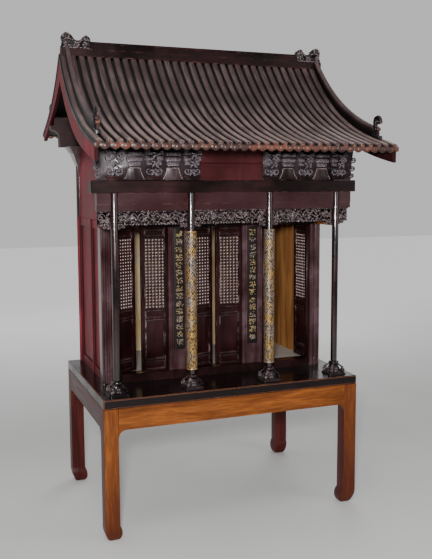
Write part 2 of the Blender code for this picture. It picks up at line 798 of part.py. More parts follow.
def frieze_depth(x):
    """The frieze hangs lower beside each column."""
    nearest = min(abs(x - place[1]) for place in column_places())
    share = max(0.0, 1.0 - nearest / (COLUMN_RADIUS + FRIEZE_SPANDREL_WIDTH))
    return FRIEZE_HEIGHT + FRIEZE_SPANDREL * min(1.0, 1.6 * share) ** 1.5


def frieze(name, low_x, high_x, material):
    """An openwork band: leaf-shaped openings along a vine, over a scalloped lower edge."""
    top = ARCHITRAVE_BOTTOM - TIE_HEIGHT - STRIP_HEIGHT - 2 * GAP
    front = COLUMN_Y + COLUMN_RADIUS + FRIEZE_BACKING - FRIEZE_THICKNESS
    steps = round((high_x - low_x) / (FRIEZE_CELL / 2))
    xs = [low_x + (high_x - low_x) * i / steps for i in range(steps + 1)]
    lower = []
    for i, x in enumerate(xs):
        scallop = 0.003 if i % 2 else 0.0
        lower.append((x, top - frieze_depth(x) + scallop))
    outline = lower + [(high_x, top), (low_x, top)]
    band = prism(name, outline, "Y", front, front + FRIEZE_THICKNESS, material)
    shapes = []
    count = int((high_x - low_x) / FRIEZE_CELL)
    cell = (high_x - low_x) / count
    half_x = (cell - FRIEZE_BAR) / 2
    half_z = (FRIEZE_HEIGHT / 2 - FRIEZE_BAR * 0.8) / 2
    for i in range(count):
        x = low_x + (i + 0.5) * cell
        if min(abs(x - place[1]) for place in column_places()) < COLUMN_RADIUS + half_x + GAP:
            continue
        for row in (0.27, 0.73):
            lean = 0.3 if (i + (row > 0.5)) % 2 else -0.3
            z = top - row * FRIEZE_HEIGHT
            shift = lean * half_x
            eye = [
                (x + half_x, z + shift * 0.5),
                (x + shift, z + half_z),
                (x - half_x, z - shift * 0.5),
                (x - shift, z - half_z),
            ]
            shapes.append(prism_shape(eye, "Y", front - 0.02, front + 0.04))
    carve(band, combine(shapes), 'DIFFERENCE')
    carve(band, column_notches(top - 0.2, top + 0.01, front), 'DIFFERENCE')
    merge_flat_faces(band)


def bracket_arm(x, half, low_z, reach):
    """A cross arm with undercut ends."""
    bow = half * 0.72
    high_z = low_z + BRACKET_ARM_HEIGHT
    outline = [(x - bow, low_z), (x + bow, low_z), (x + half, high_z), (x - half, high_z)]
    return prism_shape(outline, "Y", ARCHITRAVE_FRONT - reach, ARCHITRAVE_FRONT + OVERLAP)


def bracket_nose(x, low_z, reach):
    """A forward arm whose nose curls up."""
    front = ARCHITRAVE_FRONT - reach
    root = ARCHITRAVE_FRONT + OVERLAP
    high_z = low_z + BRACKET_ARM_HEIGHT
    outline = [
        (root, low_z),
        (front + 0.010, low_z),
        (front - 0.004, low_z + BRACKET_ARM_HEIGHT * 0.6),
        (front - 0.006, high_z + 0.004),
        (front + 0.004, high_z),
        (root, high_z),
    ]
    half = BRACKET_NOSE_WIDTH / 2
    return prism_shape(outline, "X", x - half, x + half)


def bell_shape(x, half, low_z, high_z):
    """A bell-shaped boss between two bracket clusters."""
    left = [(x - half, low_z), (x - half * 0.72, low_z + (high_z - low_z) * 0.45)]
    left += [(x - half * 0.62, high_z - 0.004), (x - half * 0.45, high_z)]
    right = [(2 * x - a, b) for a, b in reversed(left)]
    outline = left + right
    return prism_shape(outline, "Y", ARCHITRAVE_FRONT - BELL_RELIEF, ARCHITRAVE_FRONT + OVERLAP)


def bracket_top():
    """Top of the bracket zone, clear of the roof's underside in front of it."""
    return roof_under(ARCHITRAVE_FRONT - BRACKET_ZONE_REACH) - ROOF_CLEARANCE


def bracket_set(name, side, material):
    """A board with three clusters of stepped bracket arms, and bells between them."""
    low_z = ARCHITRAVE_TOP + GAP
    back = ARCHITRAVE_FRONT + BRACKET_BOARD
    end = ARCHITRAVE_HALF - 1.5 * BRACKET_SPLAY
    near = BRACKET_SET_START + GAP
    top = bracket_top()
    outer = ROOF_HALF_WIDTH - GABLE_INSET - GABLE_THICKNESS - ROOF_CLEARANCE
    plate = top - BRACKET_ARM_HEIGHT
    outline = [(near, low_z), (end, low_z), (end + BRACKET_SPLAY, plate)]
    outline += [(outer, plate), (outer, top), (near, top)]
    outline = [(side * x, z) for x, z in outline]
    board = prism(name, outline, "Y", ARCHITRAVE_FRONT, back, material)
    first = low_z + BRACKET_BOWL
    second = (first + plate) / 2
    spacing = (COLUMN_OUTER_X - COLUMN_INNER_X) / 2
    shapes = []
    for i in range(3):
        x = side * (COLUMN_INNER_X + i * spacing)
        arm = COLUMN_INNER_X - BRACKET_SET_START - 2 * GAP
        bowl = [(x - 0.018, low_z), (x + 0.018, low_z), (x + 0.030, first), (x - 0.030, first)]
        cluster = [
            prism_shape(bowl, "Y", ARCHITRAVE_FRONT - 0.010, ARCHITRAVE_FRONT + OVERLAP),
            bracket_arm(x, arm * 0.8, first, BRACKET_ARM_REACH * 0.6),
            bracket_arm(x, arm, second, BRACKET_ARM_REACH * 1.3),
            bracket_nose(x, first, BRACKET_ARM_REACH * 1.3),
            bracket_nose(x, second, BRACKET_ARM_REACH * 2.1),
        ]
        shapes.extend(cluster)
    for i in (0.5, 1.5):
        x = side * (COLUMN_INNER_X + i * spacing)
        shapes.append(bell_shape(x, spacing * 0.36, low_z, first + 0.012))
        for z in (first + 0.014, second):
            low = (x - spacing * 0.17, ARCHITRAVE_FRONT - 0.014, z)
            high = (x + spacing * 0.17, ARCHITRAVE_FRONT + OVERLAP, z + 0.009)
            shapes.append(box_shape(low, high))
    low = (side * near, ARCHITRAVE_FRONT - EAVE_BEAM_REACH, plate)
    high = (side * outer, ARCHITRAVE_FRONT + OVERLAP, top)
    low, high = zip(*(sorted(pair) for pair in zip(low, high)))
    shapes.append(box_shape(low, high))
    for shape in shapes:
        carve(board, shape, 'UNION')
    merge_flat_faces(board)


def frieze_board(material):
    """The plain board of the middle bay, with a round moulding over a sunk field."""
    low_z = ARCHITRAVE_TOP + GAP
    top = bracket_top()
    half = BRACKET_SET_START - GAP
    back = ARCHITRAVE_FRONT + BRACKET_BOARD
    board = box("frieze_board", (-half, ARCHITRAVE_FRONT, low_z), (half, back, top), material)
    low = (-half + 0.012, ARCHITRAVE_FRONT - 0.01, low_z + 0.008)
    high = (half - 0.012, ARCHITRAVE_FRONT + OVERLAP, low_z + MOULDING_RISE - 0.010)
    carve(board, box_shape(low, high), 'DIFFERENCE')
    ring = ring_at(ARCHITRAVE_FRONT, low_z + MOULDING_RISE, MOULDING_RADIUS, 8)
    carve(board, prism_shape(ring, "X", -half, half), 'UNION')


def build_entablature(lacquer, carved):
    build_beams(lacquer)
    for word, (low_x, high_x) in frieze_bounds().items():
        frieze(f"frieze_{word}", low_x, high_x, carved)
    bracket_set("bracket_set_left", -1, carved)
    bracket_set("bracket_set_right", 1, carved)
    frieze_board(lacquer)


# Roof


def tile_field(name, side, material):
    """One slope: a deck with round tile ribs, and pointed drip tiles along the eave.

    Each column of points is a closed section in the Y-Z plane. The crest height and
    the drip depth change from column to column across one rib pitch.
    """
    pitch = 2 * ROOF_HALF_WIDTH / RIBS
    pattern = ((-0.5, 0.0, 1.0), (-0.17, 1.0, 0.0), (0.17, 1.0, 0.0))
    columns = []
    for rib in range(RIBS):
        middle = -ROOF_HALF_WIDTH + (rib + 0.5) * pitch
        for place, crest, drip in pattern:
            columns.append((middle + place * pitch, crest, drip))
    columns.append((ROOF_HALF_WIDTH, 0.0, 1.0))
    lines = slope_lines(side)
    under = deck_lines(side)
    rings = []
    for x, crest, drip in columns:
        lift = RIB_HEIGHT * (1.0 - crest)
        ring = [Vector((x, y, roof_top(y) - lift)) for y in reversed(lines)]
        eave_bottom = roof_top(lines[0]) - RIB_HEIGHT - DRIP_DEPTH - DRIP_POINT * drip
        ring.append(Vector((x, lines[0], eave_bottom)))
        ring += [Vector((x, y, roof_under(y))) for y in under]
        rings.append(ring)
    field = make_object(name, loft_shape(rings), material)
    merge_flat_faces(field, 0.05)


def gable_drop(y):
    """Height of the gable board under the deck: even growth in front, late growth behind."""
    if y < RIDGE_Y:
        share = (y + ROOF_HALF_DEPTH) / (RIDGE_Y + ROOF_HALF_DEPTH)
        return GABLE_EAVE_FRONT + (GABLE_RIDGE - GABLE_EAVE_FRONT) * share
    share = (ROOF_HALF_DEPTH - y) / (ROOF_HALF_DEPTH - RIDGE_Y)
    return GABLE_EAVE_REAR + (GABLE_RIDGE - GABLE_EAVE_REAR) * share**3


def gable_boards(name, side, material):
    """The pair of curved boards under one gable's edge, joined at the ridge."""
    front_end = -ROOF_HALF_DEPTH + GABLE_FRONT_END
    rear_end = ROOF_HALF_DEPTH - GABLE_REAR_END
    upper = seat(front_end, RIDGE_Y, deck_lines(-1), roof_under)[:-1]
    upper += seat(RIDGE_Y, rear_end, deck_lines(1), roof_under)
    upper = [(y, z - 2 * GAP) for y, z in upper]
    front = [front_end + (RIDGE_Y - front_end) * i / 9 for i in range(10)]
    rear = [RIDGE_Y + (rear_end - RIDGE_Y) * i / 7 for i in range(1, 8)]
    lower = [(y, roof_under(y) - gable_drop(y)) for y in front + rear]
    outline = upper + list(reversed(lower))
    outer = ROOF_HALF_WIDTH - GABLE_INSET
    inner, far = sorted((side * (outer - GABLE_THICKNESS), side * outer))
    prism(name, outline, "X", inner, far, material)


def ridge_board(material):
    """A board on a saddle that follows both slopes, with a cap along its top."""
    half = RIDGE_WIDTH / 2
    front = RIDGE_Y - half
    back = RIDGE_Y + half
    top = RIDGE_Z + RIDGE_HEIGHT
    front_foot = seat(front, RIDGE_Y, slope_lines(-1), roof_top)[0][1]
    back_foot = seat(RIDGE_Y, back, slope_lines(1), roof_top)[-1][1]
    saddle = [
        (front, front_foot + 2 * GAP),
        (RIDGE_Y, RIDGE_Z + 2 * GAP),
        (back, back_foot + 2 * GAP),
        (back, RIDGE_Z + RIDGE_SADDLE),
        (front, RIDGE_Z + RIDGE_SADDLE),
    ]
    reach = RIDGE_HALF + FINIAL_LENGTH
    ridge = prism("ridge_board", saddle, "X", -reach, reach, material)
    step = 0.005
    upper = [
        (front + step, RIDGE_Z + RIDGE_SADDLE * 0.5),
        (back - step, RIDGE_Z + RIDGE_SADDLE * 0.5),
        (back - step, top - RIDGE_CAP),
        (back, top - RIDGE_CAP),
        (back, top),
        (front, top),
        (front, top - RIDGE_CAP),
        (front + step, top - RIDGE_CAP),
    ]
    carve(ridge, prism_shape(upper, "X", -RIDGE_HALF, RIDGE_HALF), 'UNION')


def finial(name, side, material):
    """A carved end ornament with two curled heads and a saddle between them."""
    low_x = RIDGE_HALF + GAP
    foot = RIDGE_Z + RIDGE_SADDLE + GAP
    length = FINIAL_LENGTH - GAP
    height = FINIAL_HEIGHT

    def at(u, v):
        return (side * (low_x + u * length), foot + v * height)

    curl = [at(0.0, 0.0), at(0.0, 0.66), at(0.03, 0.86), at(0.14, 0.95)]
    curl += [at(0.26, 0.90), at(0.30, 0.74), at(0.38, 0.62), at(0.48, 0.60), at(0.56, 0.70)]
    curl += [at(0.60, 0.86), at(0.70, 0.98), at(0.86, 1.0), at(0.97, 0.94), at(1.0, 0.80)]
    curl += [at(0.95, 0.62), at(0.97, 0.40), at(1.0, 0.0)]
    half = RIDGE_WIDTH / 2
    thing = prism(name, curl, "Y", RIDGE_Y - half, RIDGE_Y + half, material)
    drill = []
    for u, v, r in ((0.15, 0.72, 0.007), (0.80, 0.78, 0.009)):
        x, z = at(u, v)
        for face in (-1, 1):
            ring = ring_at(x, z, r, 8)
            ys = sorted((RIDGE_Y + face * (half - 0.006), RIDGE_Y + face * (half + 0.004)))
            drill.append(prism_shape(ring, "Y", ys[0], ys[1]))
    carve(thing, combine(drill), 'DIFFERENCE')


def hanging_ridge(name, side_x, side_y, material):
    """An upright board down the verge that ends in a small standing scroll."""
    start = RIDGE_Y + side_y * (RIDGE_WIDTH / 2 + GAP)
    run = abs(side_y * ROOF_HALF_DEPTH - RIDGE_Y)
    end = side_y * (ROOF_HALF_DEPTH - HANG_END_SHARE * run)
    steps = 7
    lift = 2 * GAP
    ys = [start + (end - start) * i / steps for i in range(steps + 1)]
    foot = end + side_y * ORNAMENT_DEPTH
    lower = [(y, z + lift) for y, z in seat(start, foot, slope_lines(side_y), roof_top)]
    base = roof_top(end)
    tall = ORNAMENT_HEIGHT

    def at(u, v):
        return (end + side_y * u * ORNAMENT_DEPTH, base + v * tall)

    scroll = [at(0.92, 0.12), at(0.70, 0.30), at(0.74, 0.52), at(1.02, 0.60), at(1.04, 0.78)]
    scroll += [at(0.80, 0.96), at(0.42, 1.0), at(0.14, 0.88), at(0.06, 0.70)]
    upper = [(y, roof_top(y) + HANG_HEIGHT) for y in reversed(ys)]
    outline = lower + scroll + upper
    half = HANG_THICKNESS / 2
    middle = side_x * (ROOF_HALF_WIDTH - HANG_INSET)
    prism(name, outline, "X", middle - half, middle + half, material)


def rear_purlin(material):
    """Stacked boards over the back wall: a cove steps out to a middle board that runs under the
    gable boards, and a shorter board stands on it between them."""
    back = PURLIN_BACK_Y
    front = back - PURLIN_DEPTH
    bottom = WALL_TOP + GAP
    shelf = bottom + PURLIN_LOWER
    ledge = shelf + PURLIN_COVE
    gable_foot = min(roof_under(y) - gable_drop(y) for y in (front, back))
    step = min(ledge + PURLIN_UPPER, gable_foot - ROOF_CLEARANCE)
    top = roof_under(back) - 2 * GAP
    outer = ROOF_HALF_WIDTH - GABLE_INSET
    inside = outer - GABLE_THICKNESS - GAP
    inner = inside - PURLIN_OVERHANG
    turns = (0.0, 0.5, 1.0)
    reach = outer - inner
    cove = [(outer - reach * math.cos(t), shelf + PURLIN_COVE * math.sin(t)) for t in turns]
    right = [(inner, bottom)] + cove + [(outer, ledge), (outer, step), (inside, step), (inside, top)]
    left = [(-x, z) for x, z in reversed(right)]
    prism("rear_purlin", right + left, "Y", front, back, material)


def build_roof(tiles, lacquer, carved):
    tile_field("roof_front", -1, tiles)
    tile_field("roof_rear", 1, tiles)
    ridge_board(lacquer)
    rear_purlin(lacquer)
    for side, word in ((-1, "left"), (1, "right")):
        gable_boards(f"gable_boards_{word}", side, lacquer)
        finial(f"finial_{word}", side, carved)
        hanging_ridge(f"hanging_ridge_front_{word}", side, -1, carved)
        hanging_ridge(f"hanging_ridge_rear_{word}", side, 1, carved)


def main():
    remove_objects()
    honey = paint("honey_wood", (0.36, 0.17, 0.06), 0.35)
    lacquer = paint("dark_lacquer", (0.045, 0.018, 0.017), 0.22)
    carved = paint("carved_lacquer", (0.06, 0.035, 0.035), 0.35)
    bare = paint("bare_wood", (0.42, 0.26, 0.12), 0.55)
    gilt = paint("worn_gilding", (0.50, 0.36, 0.14), 0.45, 0.6)
    tiles = paint("tile_lacquer", (0.16, 0.11, 0.10), 0.5)
    build_stand(honey)
    build_base(lacquer, bare)
    build_case(lacquer, bare)
    build_pilasters(lacquer, gilt)
    build_doors(lacquer)
    build_columns(lacquer, carved, gilt)
    build_entablature(lacquer, carved)
    build_roof(tiles, lacquer, carved)


main()
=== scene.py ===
"""Looks of an ancestral shrine: a lacquered, tiled temple case with a porch, on a table stand.

The frame gives every size that the fine pieces share with the solids. Metres,
X along the front, the front faces -Y, Z up.
"""
import json
import math

import bmesh
import bpy
import numpy as np
from bpy.props import FloatProperty, FloatVectorProperty, IntProperty, PointerProperty
from mathutils import Euler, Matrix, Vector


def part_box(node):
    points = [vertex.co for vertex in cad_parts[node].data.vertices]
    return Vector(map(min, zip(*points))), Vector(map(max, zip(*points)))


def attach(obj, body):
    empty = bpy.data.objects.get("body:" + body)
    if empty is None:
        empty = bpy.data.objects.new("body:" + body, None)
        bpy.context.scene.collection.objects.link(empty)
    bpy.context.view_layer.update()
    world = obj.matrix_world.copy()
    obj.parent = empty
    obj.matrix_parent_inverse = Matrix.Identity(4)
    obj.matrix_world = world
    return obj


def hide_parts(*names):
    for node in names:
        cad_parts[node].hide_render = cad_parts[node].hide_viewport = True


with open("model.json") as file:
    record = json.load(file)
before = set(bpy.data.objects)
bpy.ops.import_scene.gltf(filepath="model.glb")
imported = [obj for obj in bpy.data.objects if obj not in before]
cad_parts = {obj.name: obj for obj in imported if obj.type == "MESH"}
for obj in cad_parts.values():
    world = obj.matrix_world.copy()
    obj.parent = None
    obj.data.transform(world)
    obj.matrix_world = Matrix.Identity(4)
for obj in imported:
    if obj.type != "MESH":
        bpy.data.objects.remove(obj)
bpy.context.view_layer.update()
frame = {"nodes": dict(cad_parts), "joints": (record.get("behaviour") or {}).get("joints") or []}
FRAME_MATERIALS = {material.name for material in bpy.data.materials}

bl_info = {
    "name": "Ancestral shrine looks",
    "version": (1, 0, 0),
    "blender": (4, 5, 0),
    "location": "View3D > Sidebar > Shrine",
    "description": "Builds the fine pieces and finishes of a tiled, lacquered shrine on its frame",
    "category": "Add Mesh",
}

# Shared sizes
GAP = 0.0003
MERGE = 0.000002
BODY = "shrine"
FRONT = np.array((0.0, -1.0, 0.0))
UP = np.array((0.0, 0.0, 1.0))

# Roof curve, as shares of the rise
FRONT_STRAIGHT = 0.44
REAR_STRAIGHT = 0.61
RIB_HEIGHT = 0.013
DECK_THICKNESS = 0.013
EAVE_DROP = 0.037
GABLE_RIDGE = 0.096
GABLE_EAVE_FRONT = 0.050
GABLE_EAVE_REAR = 0.030

# Photo view: the place that the camera stood at and the way that it looked
CAMERA_PLACE = (-1.17962, -3.28827, 1.38973)
CAMERA_RIGHT_DEG = 21.58
CAMERA_DOWN_DEG = 6.233
CAMERA_ROLL_DEG = 0.104
LENS_MM = 51.2
SHIFT_X = -0.0270
SHIFT_Y = -0.0195
SENSOR_MM = 36.0

# Stage: tones of the surroundings and the floor, and the floor's half size
BACKGROUND = (0.62, 0.62, 0.625)
FRONT_TONE = (0.14, 0.14, 0.145)
FLOOR_TONES = ((0.74, 0.735, 0.72), (0.78, 0.775, 0.76))
FLOOR_NEAR = (0.30, 0.30, 0.295)
FLOOR_REACH = 14.0

# Lights: name, place, point that it looks at, size and watts
LIGHTS = (
    ("key_light", (-1.30, -3.42, 1.66), (0.0, 0.0, 1.1), 0.26, 122.0),
    ("fill_light", (2.8, -2.8, 2.0), (0.0, 0.0, 1.0), 1.8, 20.0),
    ("top_light", (-0.8, -1.2, 4.0), (0.0, 0.0, 1.6), 2.0, 30.0),
    ("back_light", (2.2, 3.6, 3.0), (0.0, 0.0, 1.0), 2.0, 40.0),
)


# Surfaces: a part is a dict of points, quads, caps, a rub value per point and a paint number


def part(points, quads, caps=(), rub=0.0, paint=0):
    """A part from its points and faces. The rub value is one for all points or one for each."""
    points = np.asarray(points, float).reshape(-1, 3)
    values = np.broadcast_to(np.asarray(rub, float).reshape(-1), (len(points),)).copy()
    quads = np.asarray(quads, int)
    return {"points": points, "quads": quads, "caps": list(caps), "rub": values, "paint": paint}


def surface(points, wrap_columns=False, caps=False, rub=0.0, paint=0):
    """Quads over a grid of points, each joining two neighbours in one row to two in the next.
    With caps, one face closes the first row and one the last."""
    rows, columns = points.shape[:2]
    index = np.arange(rows * columns).reshape(rows, columns)
    ends = [index[0].tolist(), index[-1].tolist()] if caps else []
    if wrap_columns:
        index = np.concatenate([index, index[:, :1]], axis=1)
    corners = [index[:-1, :-1], index[:-1, 1:], index[1:, 1:], index[1:, :-1]]
    return part(points, np.stack(corners, axis=-1).reshape(-1, 4), ends, rub, paint)


def unit(vectors):
    """Vectors scaled to length 1."""
    return vectors / np.maximum(np.linalg.norm(vectors, axis=-1, keepdims=True), 1e-12)


def inset(outline, amount):
    """The outline moved inwards: each corner goes along the mean of its two edges' normals."""
    before = unit(outline - np.roll(outline, 1, axis=0))
    after = unit(np.roll(outline, -1, axis=0) - outline)
    normals = [np.stack([-d[:, 1], d[:, 0]], axis=1) for d in (before, after)]
    middle = unit(normals[0] + normals[1])
    reach = 1.0 / np.clip((middle * normals[0]).sum(axis=1), 0.5, 1.0)
    x, y = outline.T
    area = (x * np.roll(y, -1) - y * np.roll(x, -1)).sum()
    return outline + np.sign(area) * middle * (reach * amount)[:, None]


def lift(outline, along, level):
    """Flat points set into space at one level of the axis they don't use."""
    outline = np.asarray(outline, float)
    level = np.full(len(outline), level, float)
    order = {"X": (level, outline[:, 0], outline[:, 1]), "Y": (outline[:, 0], level, outline[:, 1])}
    order["Z"] = (outline[:, 0], outline[:, 1], level)
    return np.stack(order[along], axis=1)


def slab(outline, along, low, high, chamfer=0.001, rub=0.0, paint=0):
    """An outline carried from low to high along an axis, its two rims cut back by a chamfer."""
    outline = np.asarray(outline, float)
    tight = inset(outline, chamfer)
    levels = ((low, tight), (low + chamfer, outline), (high - chamfer, outline), (high, tight))
    rings = np.stack([lift(ring, along, level) for level, ring in levels])
    return surface(rings, wrap_columns=True, caps=True, rub=rub, paint=paint)


def bar(low, high, chamfer=0.001, rub=0.0, paint=0):
    """A box between two corners, chamfered."""
    corners = [(low[0], low[1]), (high[0], low[1]), (high[0], high[1]), (low[0], high[1])]
    return slab(corners, "Z", low[2], high[2], chamfer, rub, paint)


def bend(x, y, radius, begin, end, steps):
    """Points on an arc from one angle to another, in degrees."""
    angles = np.radians(np.linspace(begin, end, steps + 1))
    return np.stack([x + radius * np.cos(angles), y + radius * np.sin(angles)], axis=1)


def curl(x, y, radius, turns, begin, steps=18, tight=0.12):
    """A spiral that winds in: the radius falls in step with the angle turned."""
    share = np.linspace(0.0, 1.0, steps)
    angles = math.radians(begin) + 2.0 * math.pi * turns * share
    reach = radius * (1.0 - (1.0 - tight) * share)
    return np.stack([x + reach * np.cos(angles), y + reach * np.sin(angles)], axis=1)


def strand(path, width, height, up=FRONT, sides=8, rub=1.0, paint=0):
    """An oval carried along a path, width across and height along the up direction, drawn to a point
    at both ends. The rub value rises from the back of the oval to its crown."""
    path = np.asarray(path, float)
    count = len(path)
    width = np.broadcast_to(np.asarray(width, float), (count,))
    height = np.broadcast_to(np.asarray(height, float), (count,))
    ahead = unit(np.gradient(path, axis=0))
    across = unit(np.cross(ahead, up))
    above = np.cross(across, ahead)
    angles = np.linspace(0.0, 2.0 * math.pi, sides, endpoint=False)
    oval = across[:, None] * np.cos(angles)[:, None] * (width / 2)[:, None, None]
    oval = oval + above[:, None] * np.sin(angles)[:, None] * (height / 2)[:, None, None]
    points = path[:, None] + oval
    ends = [np.repeat(path[i:i + 1, None], sides, axis=1) for i in (0, count - 1)]
    points = np.concatenate([ends[0], points, ends[1]])
    crown = np.tile((np.sin(angles) * 0.5 + 0.5) * rub, (count + 2, 1))
    return surface(points, wrap_columns=True, rub=crown, paint=paint)


def leaf(length, width, height, bow=0.0):
    """A leaf lying in the X-Z plane from the origin along +X: its width follows a sine along its
    length, and its middle line bows sideways."""
    share = np.linspace(0.03, 0.97, 7)
    path = np.stack([share * length, 0 * share, bow * length * np.sin(math.pi * share)], axis=1)
    swell = np.sin(math.pi * share) ** 0.75
    return strand(path, width * swell, height * (0.4 + 0.6 * swell), sides=6)


def turned(profile, x, y, sides=32, rub=0.0, paint=0):
    """A profile of radius and height turned round an upright axis."""
    profile = np.asarray(profile, float)
    angles = np.linspace(0.0, 2.0 * math.pi, sides, endpoint=False)
    radius = profile[:, 0][:, None]
    height = np.broadcast_to(profile[:, 1][:, None], (len(profile), sides))
    points = np.stack([x + radius * np.cos(angles), y + radius * np.sin(angles), height], axis=-1)
    values = np.repeat(np.broadcast_to(rub, (len(profile),)), sides)
    return surface(points, wrap_columns=True, rub=values, paint=paint)


def dome(x, y, z, radius, height, sides=8, face=-1.0, paint=0):
    """A low round boss on a plane that faces the front, or the back when face is 1."""
    share = np.array((1.0, 0.92, 0.6, 0.0))
    rise = np.array((0.0, 0.45, 0.85, 1.0)) * height * face
    angles = np.linspace(0.0, 2.0 * math.pi, sides, endpoint=False)
    points = np.stack([
        x + radius * share[:, None] * np.cos(angles),
        np.broadcast_to((y + rise)[:, None], (4, sides)),
        z + radius * share[:, None] * np.sin(angles),
    ], axis=-1)
    values = np.repeat(np.array((0.0, 0.4, 0.9, 1.0)), sides)
    shape = surface(points, wrap_columns=True, rub=values, paint=paint)
    shape["caps"] = [list(range(sides))]
    return shape


def copies(shape, moves, turns=0.0, sizes=1.0, flips=1.0):
    """Copies of a part: each is scaled, mirrored in X, turned in the X-Z plane and moved."""
    moves = np.asarray(moves, float).reshape(-1, 3)
    count = len(moves)
    turns, sizes, flips = (np.broadcast_to(np.asarray(v, float), (count,)) for v in (turns, sizes, flips))
    x, y, z = shape["points"].T
    x, z = x[None] * (sizes * flips)[:, None], z[None] * sizes[:, None]
    cosine, sine = np.cos(turns)[:, None], np.sin(turns)[:, None]
    placed = np.stack([x * cosine - z * sine, np.broadcast_to(y, x.shape), x * sine + z * cosine], axis=-1)
    placed = placed + moves[:, None]
    step = len(shape["points"])
    starts = np.arange(count) * step
    quads = (shape["quads"][None] + starts[:, None, None]).reshape(-1, 4)
    caps = [[i + start for i in cap] for start in starts.tolist() for cap in shape["caps"]]
    return part(placed, quads, caps, np.tile(shape["rub"], count), shape["paint"])


def moved(shape, change):
    """The same part with its points changed by a function of the whole array."""
    return {**shape, "points": change(shape["points"])}


def kept_inside(parts, low, high):
    """Parts with every point held between two corners."""
    return [moved(p, lambda q: np.clip(q, low, high)) for p in parts]


def mirrored(parts):
    """Parts reflected from one side of the shrine to the other."""
    return [moved(p, lambda q: q * np.array((-1.0, 1.0, 1.0))) for p in parts]


def piece(name, parts, finishes, nodes=(), body=BODY, sharp=38.0):
    """Joins parts into one mesh object with its finishes, merges doubled points, turns the faces
    out, and puts it in place of its nodes."""
    starts = np.cumsum([0] + [len(p["points"]) for p in parts])
    faces = []
    paints = []
    for p, start in zip(parts, starts.tolist()):
        found = (p["quads"] + start).tolist() + [[i + start for i in cap] for cap in p["caps"]]
        faces += found
        paints += [p["paint"]] * len(found)
    mesh = bpy.data.meshes.new(name)
    mesh.from_pydata(np.concatenate([p["points"] for p in parts]).tolist(), [], faces)
    mesh.polygons.foreach_set("material_index", paints)
    rub = mesh.attributes.new("rub", "FLOAT", "POINT")
    rub.data.foreach_set("value", np.concatenate([p["rub"] for p in parts]).astype(np.float32))
    for finish in finishes:
        mesh.materials.append(finish)
    shape = bmesh.new()
    shape.from_mesh(mesh)
    bmesh.ops.remove_doubles(shape, verts=shape.verts, dist=MERGE)
    bmesh.ops.recalc_face_normals(shape, faces=shape.faces)
    shape.to_mesh(mesh)
    shape.free()
    mesh.shade_smooth()
    mesh.set_sharp_from_angle(angle=math.radians(sharp))
    thing = bpy.data.objects.new(name, mesh)
    bpy.context.scene.collection.objects.link(thing)
    if nodes:
        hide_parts(*nodes)
    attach(thing, body)


# Finishes


def add(tree, kind, inputs=None, **settings):
    """A node with its settings made and its inputs given a value or a link."""
    made = tree.nodes.new(kind)
    for key, value in settings.items():
        setattr(made, key, value)
    for key, value in (inputs or {}).items():
        if isinstance(value, bpy.types.NodeSocket):
            tree.links.new(value, made.inputs[key])
        else:
            made.inputs[key].default_value = value
    return made


def own_place(tree):
    """The place on the piece, in its own coordinates."""
    return add(tree, "ShaderNodeTexCoord").outputs["Object"]


def face_normal(tree):
    """The way that the surface looks."""
    return add(tree, "ShaderNodeNewGeometry").outputs["Normal"]


def rub_and_painted_light(tree):
    """The value that the points carry: 0 in hollows and 1 on crests. It sets wear, painted shade in hollows
    and painted highlights on crests.
    """
    return add(tree, "ShaderNodeAttribute", attribute_name="rub").outputs["Fac"]


def along_axis(tree, vector, axis):
    """A vector's length along one axis."""
    return add(tree, "ShaderNodeSeparateXYZ", {0: vector}).outputs[axis]


def calc(tree, operation, *values):
    """A sum, product or the like, held between 0 and 1."""
    inputs = dict(enumerate(values))
    return add(tree, "ShaderNodeMath", inputs, operation=operation, use_clamp=True).outputs[0]


def ramp(tree, value, low, high):
    """0 below low and 1 above high, eased between them."""
    inputs = {"Value": value, "From Min": low, "From Max": high}
    return add(tree, "ShaderNodeMapRange", inputs, interpolation_type="SMOOTHSTEP").outputs[0]


def blend_colours(tree, share, first, second):
    """One colour laid over another by a share from 0 to 1."""
    made = add(tree, "ShaderNodeMix", data_type="RGBA")
    for socket, value in ((made.inputs[0], share), (made.inputs[6], first), (made.inputs[7], second)):
        if isinstance(value, bpy.types.NodeSocket):
            tree.links.new(value, socket)
        else:
            socket.default_value = value if isinstance(value, (int, float)) else (*value, 1.0)
    return made.outputs[2]


def start_group(name, inputs, outputs):
    """A node group with float or vector inputs, and its input and output nodes."""
    tree = bpy.data.node_groups.new(name, "ShaderNodeTree")
    for label, kind, value in inputs:
        socket = tree.interface.new_socket(label, in_out="INPUT", socket_type=kind)
        socket.default_value = value
    for label in outputs:
        tree.interface.new_socket(label, in_out="OUTPUT", socket_type="NodeSocketFloat")
    return tree, tree.nodes.new("NodeGroupInput").outputs, tree.nodes.new("NodeGroupOutput").inputs


def edge_rub_group():
    """Rubbed edges: where a normal rounded over a small width leaves the face's own normal, broken
    up by noise."""
    wanted = [("Width", "NodeSocketFloat", 0.003), ("Scale", "NodeSocketFloat", 30.0),
              ("Cover", "NodeSocketFloat", 0.5)]
    tree, given, result = start_group("Edge rub", wanted, ["Mask"])
    rounded = add(tree, "ShaderNodeBevel", {"Radius": given["Width"]}, samples=4)
    inputs = {0: rounded.outputs["Normal"], 1: face_normal(tree)}
    same = add(tree, "ShaderNodeVectorMath", inputs, operation="DOT_PRODUCT").outputs["Value"]
    edge = ramp(tree, calc(tree, "SUBTRACT", 1.0, same), 0.01, 0.16)
    inputs = {"Vector": own_place(tree), "Scale": given["Scale"], "Detail": 4.0}
    noise = add(tree, "ShaderNodeTexNoise", inputs)
    bare = calc(tree, "SUBTRACT", 1.0, given["Cover"])
    high = calc(tree, "ADD", bare, 0.22)
    inputs = {"Value": noise.outputs["Fac"], "From Min": bare, "From Max": high}
    broken = add(tree, "ShaderNodeMapRange", inputs).outputs[0]
    tree.links.new(calc(tree, "MULTIPLY", edge, broken), result["Mask"])
    return tree


